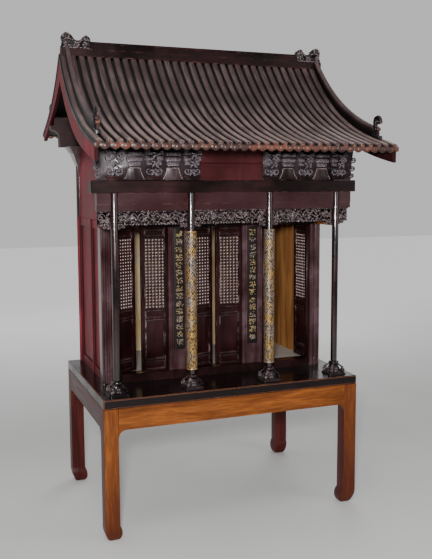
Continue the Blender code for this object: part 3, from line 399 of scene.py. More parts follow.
def grain_group():
    """Wood grain: noise stretched along the wood, with finer pores stretched further."""
    wanted = [("Stretch", "NodeSocketVector", (1.0, 1.0, 1.0)), ("Scale", "NodeSocketFloat", 30.0)]
    tree, given, result = start_group("Wood grain", wanted, ["Grain", "Pores"])
    inputs = {0: own_place(tree), 1: given["Stretch"]}
    drawn = add(tree, "ShaderNodeVectorMath", inputs, operation="MULTIPLY").outputs[0]
    inputs = {"Vector": drawn, "Scale": given["Scale"], "Detail": 5.0, "Distortion": 0.8}
    grain = add(tree, "ShaderNodeTexNoise", inputs)
    fine = add(tree, "ShaderNodeMath", {0: given["Scale"], 1: 6.0}, operation="MULTIPLY").outputs[0]
    pores = add(tree, "ShaderNodeTexNoise", {"Vector": drawn, "Scale": fine, "Detail": 2.0})
    tree.links.new(ramp(tree, grain.outputs["Fac"], 0.32, 0.68), result["Grain"])
    tree.links.new(ramp(tree, pores.outputs["Fac"], 0.45, 0.62), result["Pores"])
    return tree


def patches_group():
    """Uneven tone: broad clouds with smaller ones in them."""
    wanted = [("Scale", "NodeSocketFloat", 6.0), ("Low", "NodeSocketFloat", 0.35),
              ("High", "NodeSocketFloat", 0.65)]
    tree, given, result = start_group("Patches", wanted, ["Mask"])
    inputs = {"Vector": own_place(tree), "Scale": given["Scale"], "Detail": 7.0}
    noise = add(tree, "ShaderNodeTexNoise", inputs)
    inputs = {"Value": noise.outputs["Fac"], "From Min": given["Low"], "From Max": given["High"]}
    tree.links.new(add(tree, "ShaderNodeMapRange", inputs).outputs[0], result["Mask"])
    return tree


GROUP_MAKERS = {"Edge rub": edge_rub_group, "Wood grain": grain_group, "Patches": patches_group}


def effect(tree, name, **values):
    """A shared effect placed in a material with its own values."""
    made = tree.nodes.new("ShaderNodeGroup")
    made.node_tree = bpy.data.node_groups.get(name) or GROUP_MAKERS[name]()
    for key, value in values.items():
        made.inputs[key].default_value = value
    return made.outputs


def start_finish(name, coat=0.0, coat_roughness=0.1):
    """A new material with its node tree and shader, or the one of that name with neither. It never
    takes a material of the frame."""
    found = bpy.data.materials.get(name)
    if found and found.name in FRAME_MATERIALS:
        raise RuntimeError(f"{name} is the name of a material of the frame")
    if found:
        return found, None, None
    made = bpy.data.materials.new(name)
    made.use_nodes = True
    tree = made.node_tree
    shader = tree.nodes["Principled BSDF"]
    shader.inputs["Coat Weight"].default_value = coat
    shader.inputs["Coat Roughness"].default_value = coat_roughness
    return made, tree, shader


def bumped(tree, shader, height, distance):
    """Fine relief on the surface's normal."""
    made = add(tree, "ShaderNodeBump", {"Height": height, "Distance": distance, "Strength": 0.6})
    tree.links.new(made.outputs[0], shader.inputs["Normal"])


def lacquer(name, deep, warm, rubbed, cover=0.4, width=0.003, rough=0.22, coat=0.35,
            along=(1.0, 1.0, 0.12), crown=0.0, scale=26.0, shine=0.5, inner=0.0, sides_only=False):
    """Old lacquer: two tones in patches and grain, rubbed along edges. With a crown share it is carved:
    hollows go near-black as painted shade, and high points get pale spots that are partly wear and
    partly painted highlight. With sides_only, the deep and warm tones, which hold a painted
    reflection of a red wall, show only on faces that look outward to a side, and the other faces are
    dark. With an inner limit, the wood is bare closer to the middle plane than the limit."""
    made, tree, shader = start_finish(name, coat, 0.12)
    if tree is None:
        return made
    c = colours()
    shader.inputs["Specular IOR Level"].default_value = shine
    clouds = effect(tree, "Patches", Scale=7.0)["Mask"]
    grain = effect(tree, "Wood grain", Stretch=along, Scale=scale)
    tone = calc(tree, "MULTIPLY", clouds, calc(tree, "ADD", grain["Grain"], 0.25))
    colour = blend_colours(tree, tone, deep, warm)
    # Painted reflection: the deep and warm tones, a red wall's reflection, stay on faces that look outward to
    # a side; other faces take dark warm lacquer.
    if sides_only:
        across = along_axis(tree, own_place(tree), "X")
        hand = add(tree, "ShaderNodeMath", {0: across}, operation="SIGN").outputs[0]
        outward = calc(tree, "MULTIPLY", along_axis(tree, face_normal(tree), "X"), hand)
        colour = blend_colours(tree, ramp(tree, outward, 0.35, 0.65), c.lacquer_warm, colour)
    edge = effect(tree, "Edge rub", Width=width, Cover=cover)["Mask"]
    if crown > 0.0:
        high = rub_and_painted_light(tree)
        # Painted shade: where the rub value is low, the carving's hollows go near-black.
        colour = blend_colours(tree, ramp(tree, high, 0.45, 0.05), colour, c.painted_hollow_shade)
        spots = effect(tree, "Patches", Scale=190.0, Low=0.47, High=0.55)["Mask"]
        spots = calc(tree, "MULTIPLY", spots, crown)
        # Pale spots on the crests: partly wear and partly painted highlight.
        worn = calc(tree, "MULTIPLY", ramp(tree, high, 0.55, 0.90), spots)
        edge = calc(tree, "MULTIPLY", edge, ramp(tree, high, 0.1, 0.5))
        colour = blend_colours(tree, worn, colour, rubbed)
    colour = blend_colours(tree, edge, colour, rubbed)
    if inner > 0.0:
        across = along_axis(tree, own_place(tree), "X")
        away = add(tree, "ShaderNodeMath", {0: across}, operation="ABSOLUTE").outputs[0]
        wood = blend_colours(tree, grain["Grain"], c.inner_deep, c.inner_pale)
        colour = blend_colours(tree, ramp(tree, away, inner + 0.002, inner), colour, wood)
    tree.links.new(colour, shader.inputs["Base Color"])
    uneven = calc(tree, "MULTIPLY_ADD", clouds, 0.16, rough)
    uneven = calc(tree, "MULTIPLY_ADD", edge, 0.2, uneven)
    tree.links.new(uneven, shader.inputs["Roughness"])
    bumped(tree, shader, grain["Pores"], 0.00025)
    return made


def colours():
    """The colours that the panel shows."""
    return bpy.context.scene.shrine_colours


WALL_INNER = float(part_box("side_panel_right")[0][0]) + 0.0006
ACROSS = (0.12, 1.0, 1.0)

# Lacquers: names of the deep, warm and rubbed colours, and the settings of each
LACQUERS = {
    "case_lacquer": ("lacquer_deep", "lacquer_warm", "worn_edge",
                     dict(cover=0.42, rough=0.2, coat=0.15, shine=0.3)),
    # Posts, and the ring post and corbel of the upper walls: their warm patches are a painted sheen.
    "post_lacquer": ("lacquer_warm", "post_sheen", "worn_edge",
                     dict(cover=0.4, rough=0.16, coat=0.4, shine=0.35)),
    "beam_lacquer": ("lacquer_deep", "lacquer_warm", "worn_edge",
                     dict(cover=0.5, width=0.004, rough=0.3, coat=0.0, along=ACROSS, shine=0.2)),
    "tie_lacquer": ("lacquer_warm", "tie_warm", "worn_edge",
                    dict(cover=0.5, width=0.004, rough=0.26, coat=0.1, along=ACROSS, shine=0.3)),
    "red_lacquer": ("red_deep", "red_warm", "worn_edge",
                    dict(cover=0.35, rough=0.3, coat=0.08, shine=0.25)),
    # Gable and wall lacquers: their side red is a painted reflection of a red wall on dark red-brown lacquer.
    "gable_lacquer": ("side_red_reflection_deep", "side_red_reflection", "worn_edge",
                      dict(cover=0.35, rough=0.4, coat=0.0, shine=0.05, sides_only=True)),
    "wall_lacquer": ("side_red_reflection_deep", "side_red_reflection", "worn_edge",
                     dict(cover=0.35, rough=0.35, coat=0.0, shine=0.05, inner=WALL_INNER, sides_only=True)),
    "leaf_finish": ("door_deep", "door_warm", "pale_line",
                    dict(cover=0.52, width=0.0022, rough=0.28, coat=0.03, shine=0.15)),
    "lattice_lacquer": ("lacquer_warm", "lattice_face", "pale_line",
                        dict(cover=0.4, width=0.0012, rough=0.3, coat=0.0, shine=0.2)),
    # Carved finishes: hollows take the painted shade, and crests take pale spots that are partly wear and
    # partly painted highlight.
    "carving_finish": ("carved_deep", "carved_warm", "carved_wear_and_highlight",
                       dict(cover=0.5, width=0.0022, rough=0.24, coat=0.08, crown=0.75, scale=40.0,
                            shine=0.3)),
    "bracket_lacquer": ("bracket_deep", "bracket_face_and_sheen", "bracket_wear_and_highlight",
                        dict(cover=0.6, width=0.003, rough=0.26, coat=0.08, crown=0.55, scale=40.0,
                             shine=0.25)),
    "column_lacquer": ("lacquer_deep", "lacquer_warm", "worn_edge",
                       dict(cover=0.3, rough=0.18, coat=0.75, shine=0.4)),
    "line_paint": ("line_deep", "pale_line", "pale_line",
                   dict(cover=0.5, width=0.001, rough=0.3, coat=0.0, crown=1.0, shine=0.3)),
    "boss_paint": ("pale_line", "boss_pale", "boss_pale",
                   dict(cover=0.6, width=0.001, rough=0.3, coat=0.0, crown=1.0, scale=60.0)),
    "board_lacquer": ("board_black", "lacquer_deep", "orange_edge",
                      dict(cover=0.85, width=0.005, rough=0.14, coat=0.15, along=ACROSS, shine=0.2)),
    "ridge_side": ("tile_brown", "tile_grey", "pale_line",
                   dict(cover=0.4, rough=0.36, coat=0.0, along=(1.0, 0.15, 0.15), crown=0.3, shine=0.2)),
    "gilt_board_ground": ("gold_ground", "carved_deep", "gold",
                          dict(cover=0.35, width=0.002, rough=0.35, coat=0.0, shine=0.2)),
}


def lacquered(name):
    """One of the lacquers above, in the colours that the panel shows."""
    *tones, settings = LACQUERS[name]
    deep, warm, rubbed = (getattr(colours(), tone) for tone in tones)
    return lacquer(name, deep, warm, rubbed, **settings)


def lacquers(*names):
    """Several of the lacquers, in the order of their paint numbers."""
    return [lacquered(name) for name in names]


def bare_wood(name, along):
    """Bare, dusty wood with fine grain, and plain brown wood on its outer side."""
    made, tree, shader = start_finish(name)
    if tree is None:
        return made
    c = colours()
    grain = effect(tree, "Wood grain", Stretch=along, Scale=34.0)
    colour = blend_colours(tree, grain["Grain"], c.bare_deep, c.bare_pale)
    clouds = effect(tree, "Patches", Scale=9.0, Low=0.42, High=0.62)["Mask"]
    colour = blend_colours(tree, calc(tree, "MULTIPLY", clouds, 0.45), colour, c.bare_grey)
    behind = ramp(tree, along_axis(tree, face_normal(tree), "Y"), 0.3, 0.7)
    outside = blend_colours(tree, grain["Grain"], c.back_deep, c.back_brown)
    colour = blend_colours(tree, behind, colour, outside)
    tree.links.new(colour, shader.inputs["Base Color"])
    shader.inputs["Roughness"].default_value = 0.6
    bumped(tree, shader, grain["Pores"], 0.0003)
    return made


def floor_wood():
    """The case's floor: pale, dusty grey boards."""
    made, tree, shader = start_finish("case_floor_wood")
    if tree is None:
        return made
    c = colours()
    grain = effect(tree, "Wood grain", Stretch=(0.1, 1.0, 1.0), Scale=30.0)
    colour = blend_colours(tree, grain["Grain"], c.bare_grey, c.floor_grey)
    tree.links.new(colour, shader.inputs["Base Color"])
    shader.inputs["Roughness"].default_value = 0.55
    bumped(tree, shader, grain["Pores"], 0.0002)
    return made


def stand_wood(name, along, leg=False):
    """Honey-coloured wood on the front faces, dark red on the rest; legs redden towards the ground."""
    made, tree, shader = start_finish(name, 0.03, 0.2)
    if tree is None:
        return made
    shader.inputs["Specular IOR Level"].default_value = 0.15
    c = colours()
    grain = effect(tree, "Wood grain", Stretch=along, Scale=30.0)
    honey = blend_colours(tree, grain["Grain"], c.honey_deep, c.honey_pale)
    red = blend_colours(tree, grain["Grain"], c.stand_red_deep, c.stand_red)
    if leg:
        place = own_place(tree)
        height = along_axis(tree, place, "Z")
        clouds = effect(tree, "Patches", Scale=5.0)["Mask"]
        low = ramp(tree, height, 0.36, 0.04)
        low = calc(tree, "ADD", low, calc(tree, "MULTIPLY", clouds, 0.15))
        honey = blend_colours(tree, calc(tree, "MULTIPLY", low, 0.75), honey, c.leg_foot)
        right = ramp(tree, along_axis(tree, place, "X"), -0.3, 0.5)
        honey = blend_colours(tree, calc(tree, "MULTIPLY", right, 0.5), honey, c.leg_foot)
    geometry = add(tree, "ShaderNodeNewGeometry").outputs
    ahead = along_axis(tree, geometry["Normal"], "Y")
    depth = along_axis(tree, geometry["Position"], "Y")
    front = calc(tree, "MULTIPLY", ramp(tree, ahead, -0.35, -0.75), ramp(tree, depth, 0.0, -0.1))
    colour = blend_colours(tree, front, red, honey)
    pores = calc(tree, "MULTIPLY", calc(tree, "SUBTRACT", 1.0, grain["Pores"]), 0.35)
    colour = blend_colours(tree, pores, colour, c.stand_red_deep)
    edge = effect(tree, "Edge rub", Width=0.004, Cover=0.45)["Mask"]
    colour = blend_colours(tree, calc(tree, "MULTIPLY", edge, 0.6), colour, c.honey_pale)
    tree.links.new(colour, shader.inputs["Base Color"])
    tree.links.new(calc(tree, "MULTIPLY_ADD", grain["Grain"], 0.12, 0.3), shader.inputs["Roughness"])
    bumped(tree, shader, grain["Pores"], 0.0003)
    return made


def tile_paint():
    """Weathered carved tiles: valleys and rib sides darkened as painted shade, grey-brown ribs whose
    crests pale towards the eave as a painted highlight, pale spots under the ridge, and streaks down the
    slope."""
    made, tree, shader = start_finish("tile_paint", 0.06, 0.22)
    if tree is None:
        return made
    shader.inputs["Specular IOR Level"].default_value = 0.25
    c = colours()
    high = rub_and_painted_light(tree)
    height = along_axis(tree, own_place(tree), "Z")
    streaks = effect(tree, "Wood grain", Stretch=(1.0, 0.10, 0.10), Scale=60.0)
    clouds = effect(tree, "Patches", Scale=6.0, Low=0.36, High=0.66)["Mask"]
    rib = blend_colours(tree, calc(tree, "MULTIPLY", clouds, streaks["Grain"]), c.tile_brown, c.tile_grey)
    uneven = calc(tree, "ADD", streaks["Grain"], 0.3)
    # Painted highlight: towards the eave the ribs' crests pale.
    eave_highlight_share = calc(tree, "MULTIPLY", ramp(tree, height, 1.74, 1.54), uneven)
    crest = ramp(tree, high, 0.55, 1.0)
    rib = blend_colours(tree, calc(tree, "MULTIPLY", eave_highlight_share, crest), rib, c.tile_pale_and_highlight)
    spots = effect(tree, "Patches", Scale=40.0, Low=0.50, High=0.60)["Mask"]
    top_share = calc(tree, "MULTIPLY", ramp(tree, height, 1.895, 1.925), spots)
    rib = blend_colours(tree, calc(tree, "MULTIPLY", top_share, 0.7), rib, c.tile_pale_and_highlight)
    # Painted shade: the valleys and the sides of the ribs go near-black.
    colour = blend_colours(tree, ramp(tree, high, 0.25, 0.92), c.tile_valley_shade, rib)
    tree.links.new(colour, shader.inputs["Base Color"])
    tree.links.new(calc(tree, "MULTIPLY_ADD", clouds, 0.2, 0.30), shader.inputs["Roughness"])
    bumped(tree, shader, streaks["Pores"], 0.0004)
    return made


def eave_paint():
    """Tile ends rubbed through to red and orange wood, with pale high points and hollows darkened as painted
    shade.
    """
    made, tree, shader = start_finish("eave_paint", 0.1, 0.25)
    if tree is None:
        return made
    c = colours()
    high = rub_and_painted_light(tree)
    broad = effect(tree, "Patches", Scale=13.0, Low=0.40, High=0.60)["Mask"]
    spots = effect(tree, "Patches", Scale=70.0, Low=0.42, High=0.58)["Mask"]
    colour = blend_colours(tree, broad, c.eave_brown, c.eave_orange)
    worn = calc(tree, "MULTIPLY", ramp(tree, high, 0.45, 0.95), spots)
    colour = blend_colours(tree, worn, colour, c.tile_pale_and_highlight)
    # Painted shade: the hollows of the tile ends go near-black.
    colour = blend_colours(tree, ramp(tree, high, 0.35, 0.05), colour, c.tile_valley_shade)
    tree.links.new(colour, shader.inputs["Base Color"])
    shader.inputs["Roughness"].default_value = 0.4
    bumped(tree, shader, spots, 0.0006)
    return made


def gold_leaf(name, worn_low, worn_high, metal, gold, silver):
    """Gold leaf worn through to silver-beige ground and to dark lacquer in the hollows; the hollows' darkness
    is partly painted shade of the relief.
    """
    made, tree, shader = start_finish(name)
    if tree is None:
        return made
    c = colours()
    high = rub_and_painted_light(tree)
    broad = effect(tree, "Patches", Scale=16.0, Low=0.42, High=0.58)["Mask"]
    fine = effect(tree, "Patches", Scale=150.0, Low=0.40, High=0.60)["Mask"]
    colour = blend_colours(tree, broad, silver, gold)
    # Where the rub value is low the leaf gives way to dark ground: partly worn leaf and partly painted shade.
    hollow = calc(tree, "MULTIPLY_ADD", fine, 0.35, calc(tree, "MULTIPLY", high, 0.8))
    kept = ramp(tree, hollow, worn_low, worn_high)
    colour = blend_colours(tree, kept, c.gold_ground, colour)
    tree.links.new(colour, shader.inputs["Base Color"])
    tree.links.new(calc(tree, "MULTIPLY", kept, metal), shader.inputs["Metallic"])
    tree.links.new(calc(tree, "MULTIPLY_ADD", fine, 0.22, 0.24), shader.inputs["Roughness"])
    bumped(tree, shader, fine, 0.0004)
    return made


def plain_floor():
    """The studio floor: pale and matt round the work, darker towards the viewer, and glowing far behind,
    a painted light that rises in tone to meet the background."""
    made, tree, shader = start_finish("studio_floor")
    if tree is None:
        return made
    clouds = effect(tree, "Patches", Scale=1.5)["Mask"]
    depth = along_axis(tree, own_place(tree), "Y")
    pale = blend_colours(tree, clouds, *FLOOR_TONES)
    colour = blend_colours(tree, ramp(tree, depth, -1.2, -3.2), pale, FLOOR_NEAR)
    tree.links.new(colour, shader.inputs["Base Color"])
    # Painted light: the floor glows more the further behind it lies.
    glow = blend_colours(tree, ramp(tree, depth, 0.6, 5.0), (0.0, 0.0, 0.0), BACKGROUND)
    tree.links.new(glow, shader.inputs["Emission Color"])
    shader.inputs["Emission Strength"].default_value = 0.85
    shader.inputs["Roughness"].default_value = 0.8
    shader.inputs["Specular IOR Level"].default_value = 0.1
    return made


def give(finish, *nodes):
    """Gives CAD nodes a finish by their material slots."""
    for name in nodes:
        thing = frame["nodes"][name]
        if not thing.material_slots:
            thing.data.materials.append(finish)
        for place in thing.material_slots:
            place.material = finish


# Sizes and colours that a user can change


def colour_value(label, text, value):
    """A colour in the panel, in linear values."""
    return FloatVectorProperty(name=label, description=text, default=value, subtype="COLOR", size=3,
                               min=0.0, max=1.0)


def length_value(label, text, value):
    """A length in the panel, in metres."""
    return FloatProperty(name=label, description=text, default=value, min=0.0, unit="LENGTH",
                         precision=4)


class ShrineColours(bpy.types.PropertyGroup):
    """Colours of the finishes, in linear values."""

    lacquer_deep: colour_value("Deep lacquer", "Dark ground of the lacquer", (0.007, 0.003, 0.003))
    lacquer_warm: colour_value("Warm lacquer", "Red-brown patches of the lacquer", (0.036, 0.01, 0.011))
    worn_edge: colour_value("Worn edge", "Rubbed edges of beams and posts", (0.24, 0.095, 0.07))
    red_deep: colour_value("Deep red", "Ground of the red-brown boards", (0.045, 0.008, 0.009))
    red_warm: colour_value("Warm red", "Patches of the red-brown boards", (0.085, 0.014, 0.017))
    door_deep: colour_value("Deep door", "Ground of the door leaves", (0.011, 0.003, 0.0035))
    door_warm: colour_value("Warm door", "Patches of the door leaves", (0.04, 0.009, 0.0105))
    pale_line: colour_value("Pale line", "Rubbed lines and high points", (0.5, 0.38, 0.36))
    boss_pale: colour_value("Boss", "Rubbed bosses of the lattices", (0.8, 0.63, 0.55))
    line_deep: colour_value("Line ground", "Ground of the thin raised lines", (0.1, 0.05, 0.05))
    carved_deep: colour_value("Deep carving", "Hollows of the carving", (0.016, 0.01, 0.011))
    # Painted shade: the near-black that carved hollows and parts with a low rub value take.
    painted_hollow_shade: colour_value("Hollows", "Deepest hollows of carved work", (0.002, 0.0015, 0.0015))
    carved_warm: colour_value("Carving", "Faces of the carving", (0.085, 0.055, 0.06))
    # Partly wear and partly a painted highlight on the carving's crests.
    carved_wear_and_highlight: colour_value("Carving, pale", "Rubbed crests of the carving", (0.315, 0.235, 0.24))
    # Partly painted sheen: the lilac-grey of the brackets' faces stands in part for their sheen.
    bracket_face_and_sheen: colour_value("Bracket face", "Lilac-grey faces of the brackets", (0.128, 0.1, 0.115))
    bracket_deep: colour_value("Bracket, deep", "Dark patches of the brackets", (0.06, 0.042, 0.05))
    # Partly wear and partly a painted highlight on the brackets' crests and bars.
    bracket_wear_and_highlight: colour_value("Bracket, pale", "Rubbed crests of the brackets", (0.31, 0.265, 0.29))
    stroke_gold: colour_value("Stroke gold", "Gilt dashes on the boards", (0.55, 0.41, 0.17))
    lattice_face: colour_value("Lattice", "Grey-brown faces of the lattice bars", (0.075, 0.047, 0.048))
    tie_warm: colour_value("Tie beam", "Reddish patches of the tie beam", (0.055, 0.02, 0.024))
    # Painted sheen: grey-purple patches that stand for broad highlights on the posts' beads.
    post_sheen: colour_value("Post sheen", "Grey-purple patches of the posts", (0.13, 0.072, 0.082))
    # Painted reflection: a red wall's crimson over dark red-brown lacquer, on faces that look outward to a
    # side.
    side_red_reflection_deep: colour_value("Side red, deep", "Ground of the side walls and gables", (0.17, 0.026, 0.034))
    side_red_reflection: colour_value("Side red", "Patches of the side walls and gables", (0.34, 0.058, 0.074))
    board_black: colour_value("Board black", "Gloss of the base board", (0.01, 0.006, 0.006))
    orange_edge: colour_value("Orange edge", "Worn edges of the base board", (0.42, 0.16, 0.08))
    inner_deep: colour_value("Inner wood, deep", "Dark grain inside the side walls", (0.25, 0.1, 0.034))
    inner_pale: colour_value("Inner wood", "Grain inside the side walls", (0.5, 0.225, 0.075))
    back_deep: colour_value("Back, deep", "Dark grain on the outside of the back", (0.070, 0.030, 0.018))
    back_brown: colour_value("Back", "Grain on the outside of the back", (0.125, 0.058, 0.034))
    bare_deep: colour_value("Bare wood, deep", "Dark grain of the bare wood", (0.52, 0.34, 0.14))
    bare_pale: colour_value("Bare wood, pale", "Pale grain of the bare wood", (0.85, 0.64, 0.32))
    bare_grey: colour_value("Dust", "Dust on the bare wood", (0.55, 0.5, 0.42))
    floor_grey: colour_value("Floor grey", "Grain of the case's floor", (0.56, 0.54, 0.52))
    honey_deep: colour_value("Honey, deep", "Dark grain on the stand's front", (0.165, 0.047, 0.009))
    honey_pale: colour_value("Honey, pale", "Pale grain on the stand's front", (0.33, 0.1, 0.018))
    stand_red_deep: colour_value("Stand red, deep", "Dark grain on the stand's other sides",
                                 (0.045, 0.008, 0.007))
    stand_red: colour_value("Stand red", "Grain on the stand's other sides", (0.11, 0.018, 0.014))
    leg_foot: colour_value("Leg foot", "Colour that the legs take towards the ground", (0.08, 0.016, 0.008))
    tile_brown: colour_value("Tile brown", "Ribs of the roof", (0.055, 0.032, 0.033))
    tile_grey: colour_value("Tile grey", "Weathered ribs", (0.15, 0.1, 0.1))
    # Pale weathering under the ridge and on the tile ends' high points, and a painted highlight on rib crests
    # near the eave.
    tile_pale_and_highlight: colour_value("Tile beige", "Ribs near the eave", (0.3, 0.205, 0.18))
    # Painted shade: the valleys between the ribs and the hollows of the tile ends.
    tile_valley_shade: colour_value("Tile valley", "Valleys between the ribs", (0.006, 0.004, 0.004))
    eave_brown: colour_value("Eave brown", "Tile ends", (0.055, 0.022, 0.018))
    eave_orange: colour_value("Eave orange", "Rubbed tile ends", (0.16, 0.05, 0.03))
    silver_beige: colour_value("Silver beige", "Worn leaf on the sleeves", (0.37, 0.3, 0.245))
    gold: colour_value("Gold", "Gold leaf", (0.52, 0.3, 0.085))
    gold_ground: colour_value("Gold ground", "Lacquer under the leaf", (0.01, 0.006, 0.004))


class ShrineSizes(bpy.types.PropertyGroup):
    """Sizes of the fine pieces."""

    ribs: IntProperty(name="Ribs", description="Tile ribs on each slope", default=33, min=9)
    rib_share: FloatProperty(name="Rib share", description="Rib width as a share of the pitch", default=0.79)
    disc_radius: length_value("Disc radius", "Round ends of the tile ribs", 0.0078)
    eave_plate: length_value("Eave plate", "Thickness of the discs and drip tiles", 0.006)
    drip_curve: length_value("Drip curve", "Rise of a drip tile's edge from its point", 0.0095)
    lattice_columns: IntProperty(name="Lattice columns", description="Openings across a leaf",
                                 default=6, min=3)
    lattice_rows: IntProperty(name="Lattice rows", description="Openings up a leaf", default=22, min=6)
    lattice_bar: length_value("Lattice bar", "Width of the lattice bars", 0.0038)
    line_width: length_value("Line width", "Width of the thin raised lines", 0.0026)
    sleeve_relief: length_value("Sleeve relief", "Depth of the carving on the sleeves", 0.0016)
    stroke_width: length_value("Stroke width", "Width of a gilt stroke", 0.0027)


def sizes():
    """The sizes that the panel shows."""
    return bpy.context.scene.shrine_sizes


# Frame measures that several pieces share


def span(node):
    """Lowest and highest corner of a node as arrays."""
    low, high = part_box(node)
    return np.array(low), np.array(high)


def middle_of(node, axis):
    """The middle of a node's box along one axis: 0 for X, 1 for Y and 2 for Z."""
    low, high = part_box(node)
    return float(low[axis] + high[axis]) / 2


ROOF_LOW, ROOF_HIGH = span("roof_front")
REAR_LOW = span("roof_rear")[0]
HALF_WIDTH = float(ROOF_HIGH[0])
HALF_DEPTH = float(-ROOF_LOW[1])
RIDGE_Y = float(ROOF_HIGH[1]) + GAP / 2
RIDGE_Z = float(ROOF_HIGH[2])
EAVE_Z = float(ROOF_LOW[2]) + EAVE_DROP
REAR_EAVE_Z = float(REAR_LOW[2]) + EAVE_DROP
COLUMN_PLACES = tuple(middle_of(f"column_{i}", 0) for i in (1, 2, 3, 4))
COLUMN_Y = middle_of("column_1", 1)


def slope_share(y):
    """How far up its slope a place lies: 0 at the eave and 1 at the ridge."""
    front = (y + HALF_DEPTH) / (RIDGE_Y + HALF_DEPTH)
    return np.where(y < RIDGE_Y, front, (HALF_DEPTH - y) / (HALF_DEPTH - RIDGE_Y))


def eave_level(y):
    """Crest height at the eave of the slope that a place lies on."""
    return np.where(y < RIDGE_Y, EAVE_Z, REAR_EAVE_Z)


def roof_top(y):
    """Crest height: a straight share of the rise and a cubic share, on either side of the ridge."""
    share = slope_share(y)
    straight = np.where(y < RIDGE_Y, FRONT_STRAIGHT, REAR_STRAIGHT)
    eave = eave_level(y)
    return eave + (RIDGE_Z - eave) * (straight * share + (1.0 - straight) * share**3)


def roof_under(y):
    """Height of the deck's underside."""
    return roof_top(y) - RIB_HEIGHT - DECK_THICKNESS


# Roof: rows of points over the crests and under the deck, and the lip's depth at the eave
SLOPE_ROWS = 36
UNDER_ROWS = 25
LIP_DEPTH = 0.010


def rib_middles():
    """The ribs' pitch and the middle of each rib."""
    count = sizes().ribs
    pitch = 2 * HALF_WIDTH / count
    return pitch, -HALF_WIDTH + (np.arange(count) + 0.5) * pitch


def rib_phases(share):
    """Places across one pitch, with the crest's height there: a half round on a shallow hollow."""
    half = share / 2
    turn = np.linspace(0.0, math.pi, 11)
    edge = 0.5 - (0.5 - half) * 0.55
    places = np.concatenate([[-0.5, -edge], -half * np.cos(turn), [edge]])
    crest = np.concatenate([[-0.10, -0.06], np.sin(turn) ** 0.85, [-0.06]])
    return places, crest


def tile_slope(side):
    """One slope as closed sections in the Y-Z plane, one for each place across the ribs: over the
    crests from the ridge to the eave, down the lip and back under the deck."""
    s = sizes()
    pitch, middles = rib_middles()
    places, crest = rib_phases(s.rib_share)
    xs = np.append((middles[:, None] + places * pitch).ravel(), HALF_WIDTH)
    crests = np.append(np.tile(crest, s.ribs), crest[0])
    rng = np.random.default_rng(11 if side < 0 else 12)
    shift = np.append(np.repeat(rng.normal(0.0, 0.00035, s.ribs), len(places)), 0.0)
    shift[np.append(np.tile(crest < 0, s.ribs), True)] = 0.0
    eave = side * (HALF_DEPTH - s.eave_plate)
    top = RIDGE_Y + side * GAP / 2
    share = np.linspace(0.0, 1.0, SLOPE_ROWS) ** 0.9
    ys = top + (eave - top) * share
    wobble = rng.normal(0.0, 0.00025, (s.ribs, SLOPE_ROWS))
    wobble = np.concatenate([np.repeat(wobble, len(places), axis=0), np.zeros((1, SLOPE_ROWS))])
    upper = roof_top(ys)[None] - RIB_HEIGHT + (RIB_HEIGHT + wobble) * crests[:, None]
    lip = eave - side * LIP_DEPTH
    under_ys = np.concatenate([[eave], np.linspace(lip, top, UNDER_ROWS - 1)])
    under = np.broadcast_to(roof_under(under_ys), (len(xs), UNDER_ROWS))
    x = np.broadcast_to((xs + shift)[:, None], (len(xs), SLOPE_ROWS + UNDER_ROWS))
    y = np.broadcast_to(np.concatenate([ys, under_ys]), x.shape)
    z = np.concatenate([upper, under], axis=1)
    crown = np.broadcast_to(crests[:, None], upper.shape)
    rub = np.concatenate([crown, np.zeros(under.shape)], axis=1)
    return surface(np.stack([x, y, z], axis=-1), wrap_columns=True, caps=True, rub=rub)


def eave_discs(side):
    """Round rib ends: a raised rim round a hollow with a small boss in its middle."""
    s = sizes()
    radius = s.disc_radius
    share = np.array((0.0, 1.0, 1.0, 0.93, 0.80, 0.72, 0.40, 0.25, 0.0))
    rise = np.array((0.0, 0.0, 0.75, 1.0, 1.0, 0.62, 0.62, 0.95, 1.0)) * s.eave_plate
    rub = np.array((0.0, 0.1, 0.6, 1.0, 0.9, 0.35, 0.45, 0.9, 1.0))
    disc = turned(np.stack([radius * share, rise], axis=1), 0.0, 0.0, 18, rub, paint=1)
    start = side * (HALF_DEPTH - s.eave_plate)
    disc = moved(disc, lambda p: np.stack([p[:, 0], start + side * p[:, 2], p[:, 1]], axis=1))
    middles = rib_middles()[1]
    rng = np.random.default_rng(21)
    level = eave_level(side) - radius + rng.normal(0.0, 0.0004, s.ribs)
    moves = np.stack([middles, 0 * middles, level], axis=1)
    return copies(disc, moves, sizes=rng.uniform(0.94, 1.04, s.ribs))


def drip_outline(half, low, high, curve):
    """A drip tile's face: straight across its top, and down to a rounded point."""
    across = np.linspace(-1.0, 1.0, 13)
    bottom = low + curve * (1.0 - np.cos(0.5 * math.pi * across)) ** 0.8
    face = np.stack([across * half, bottom], axis=1)
    return np.concatenate([face, [(half, high), (-half, high)]])


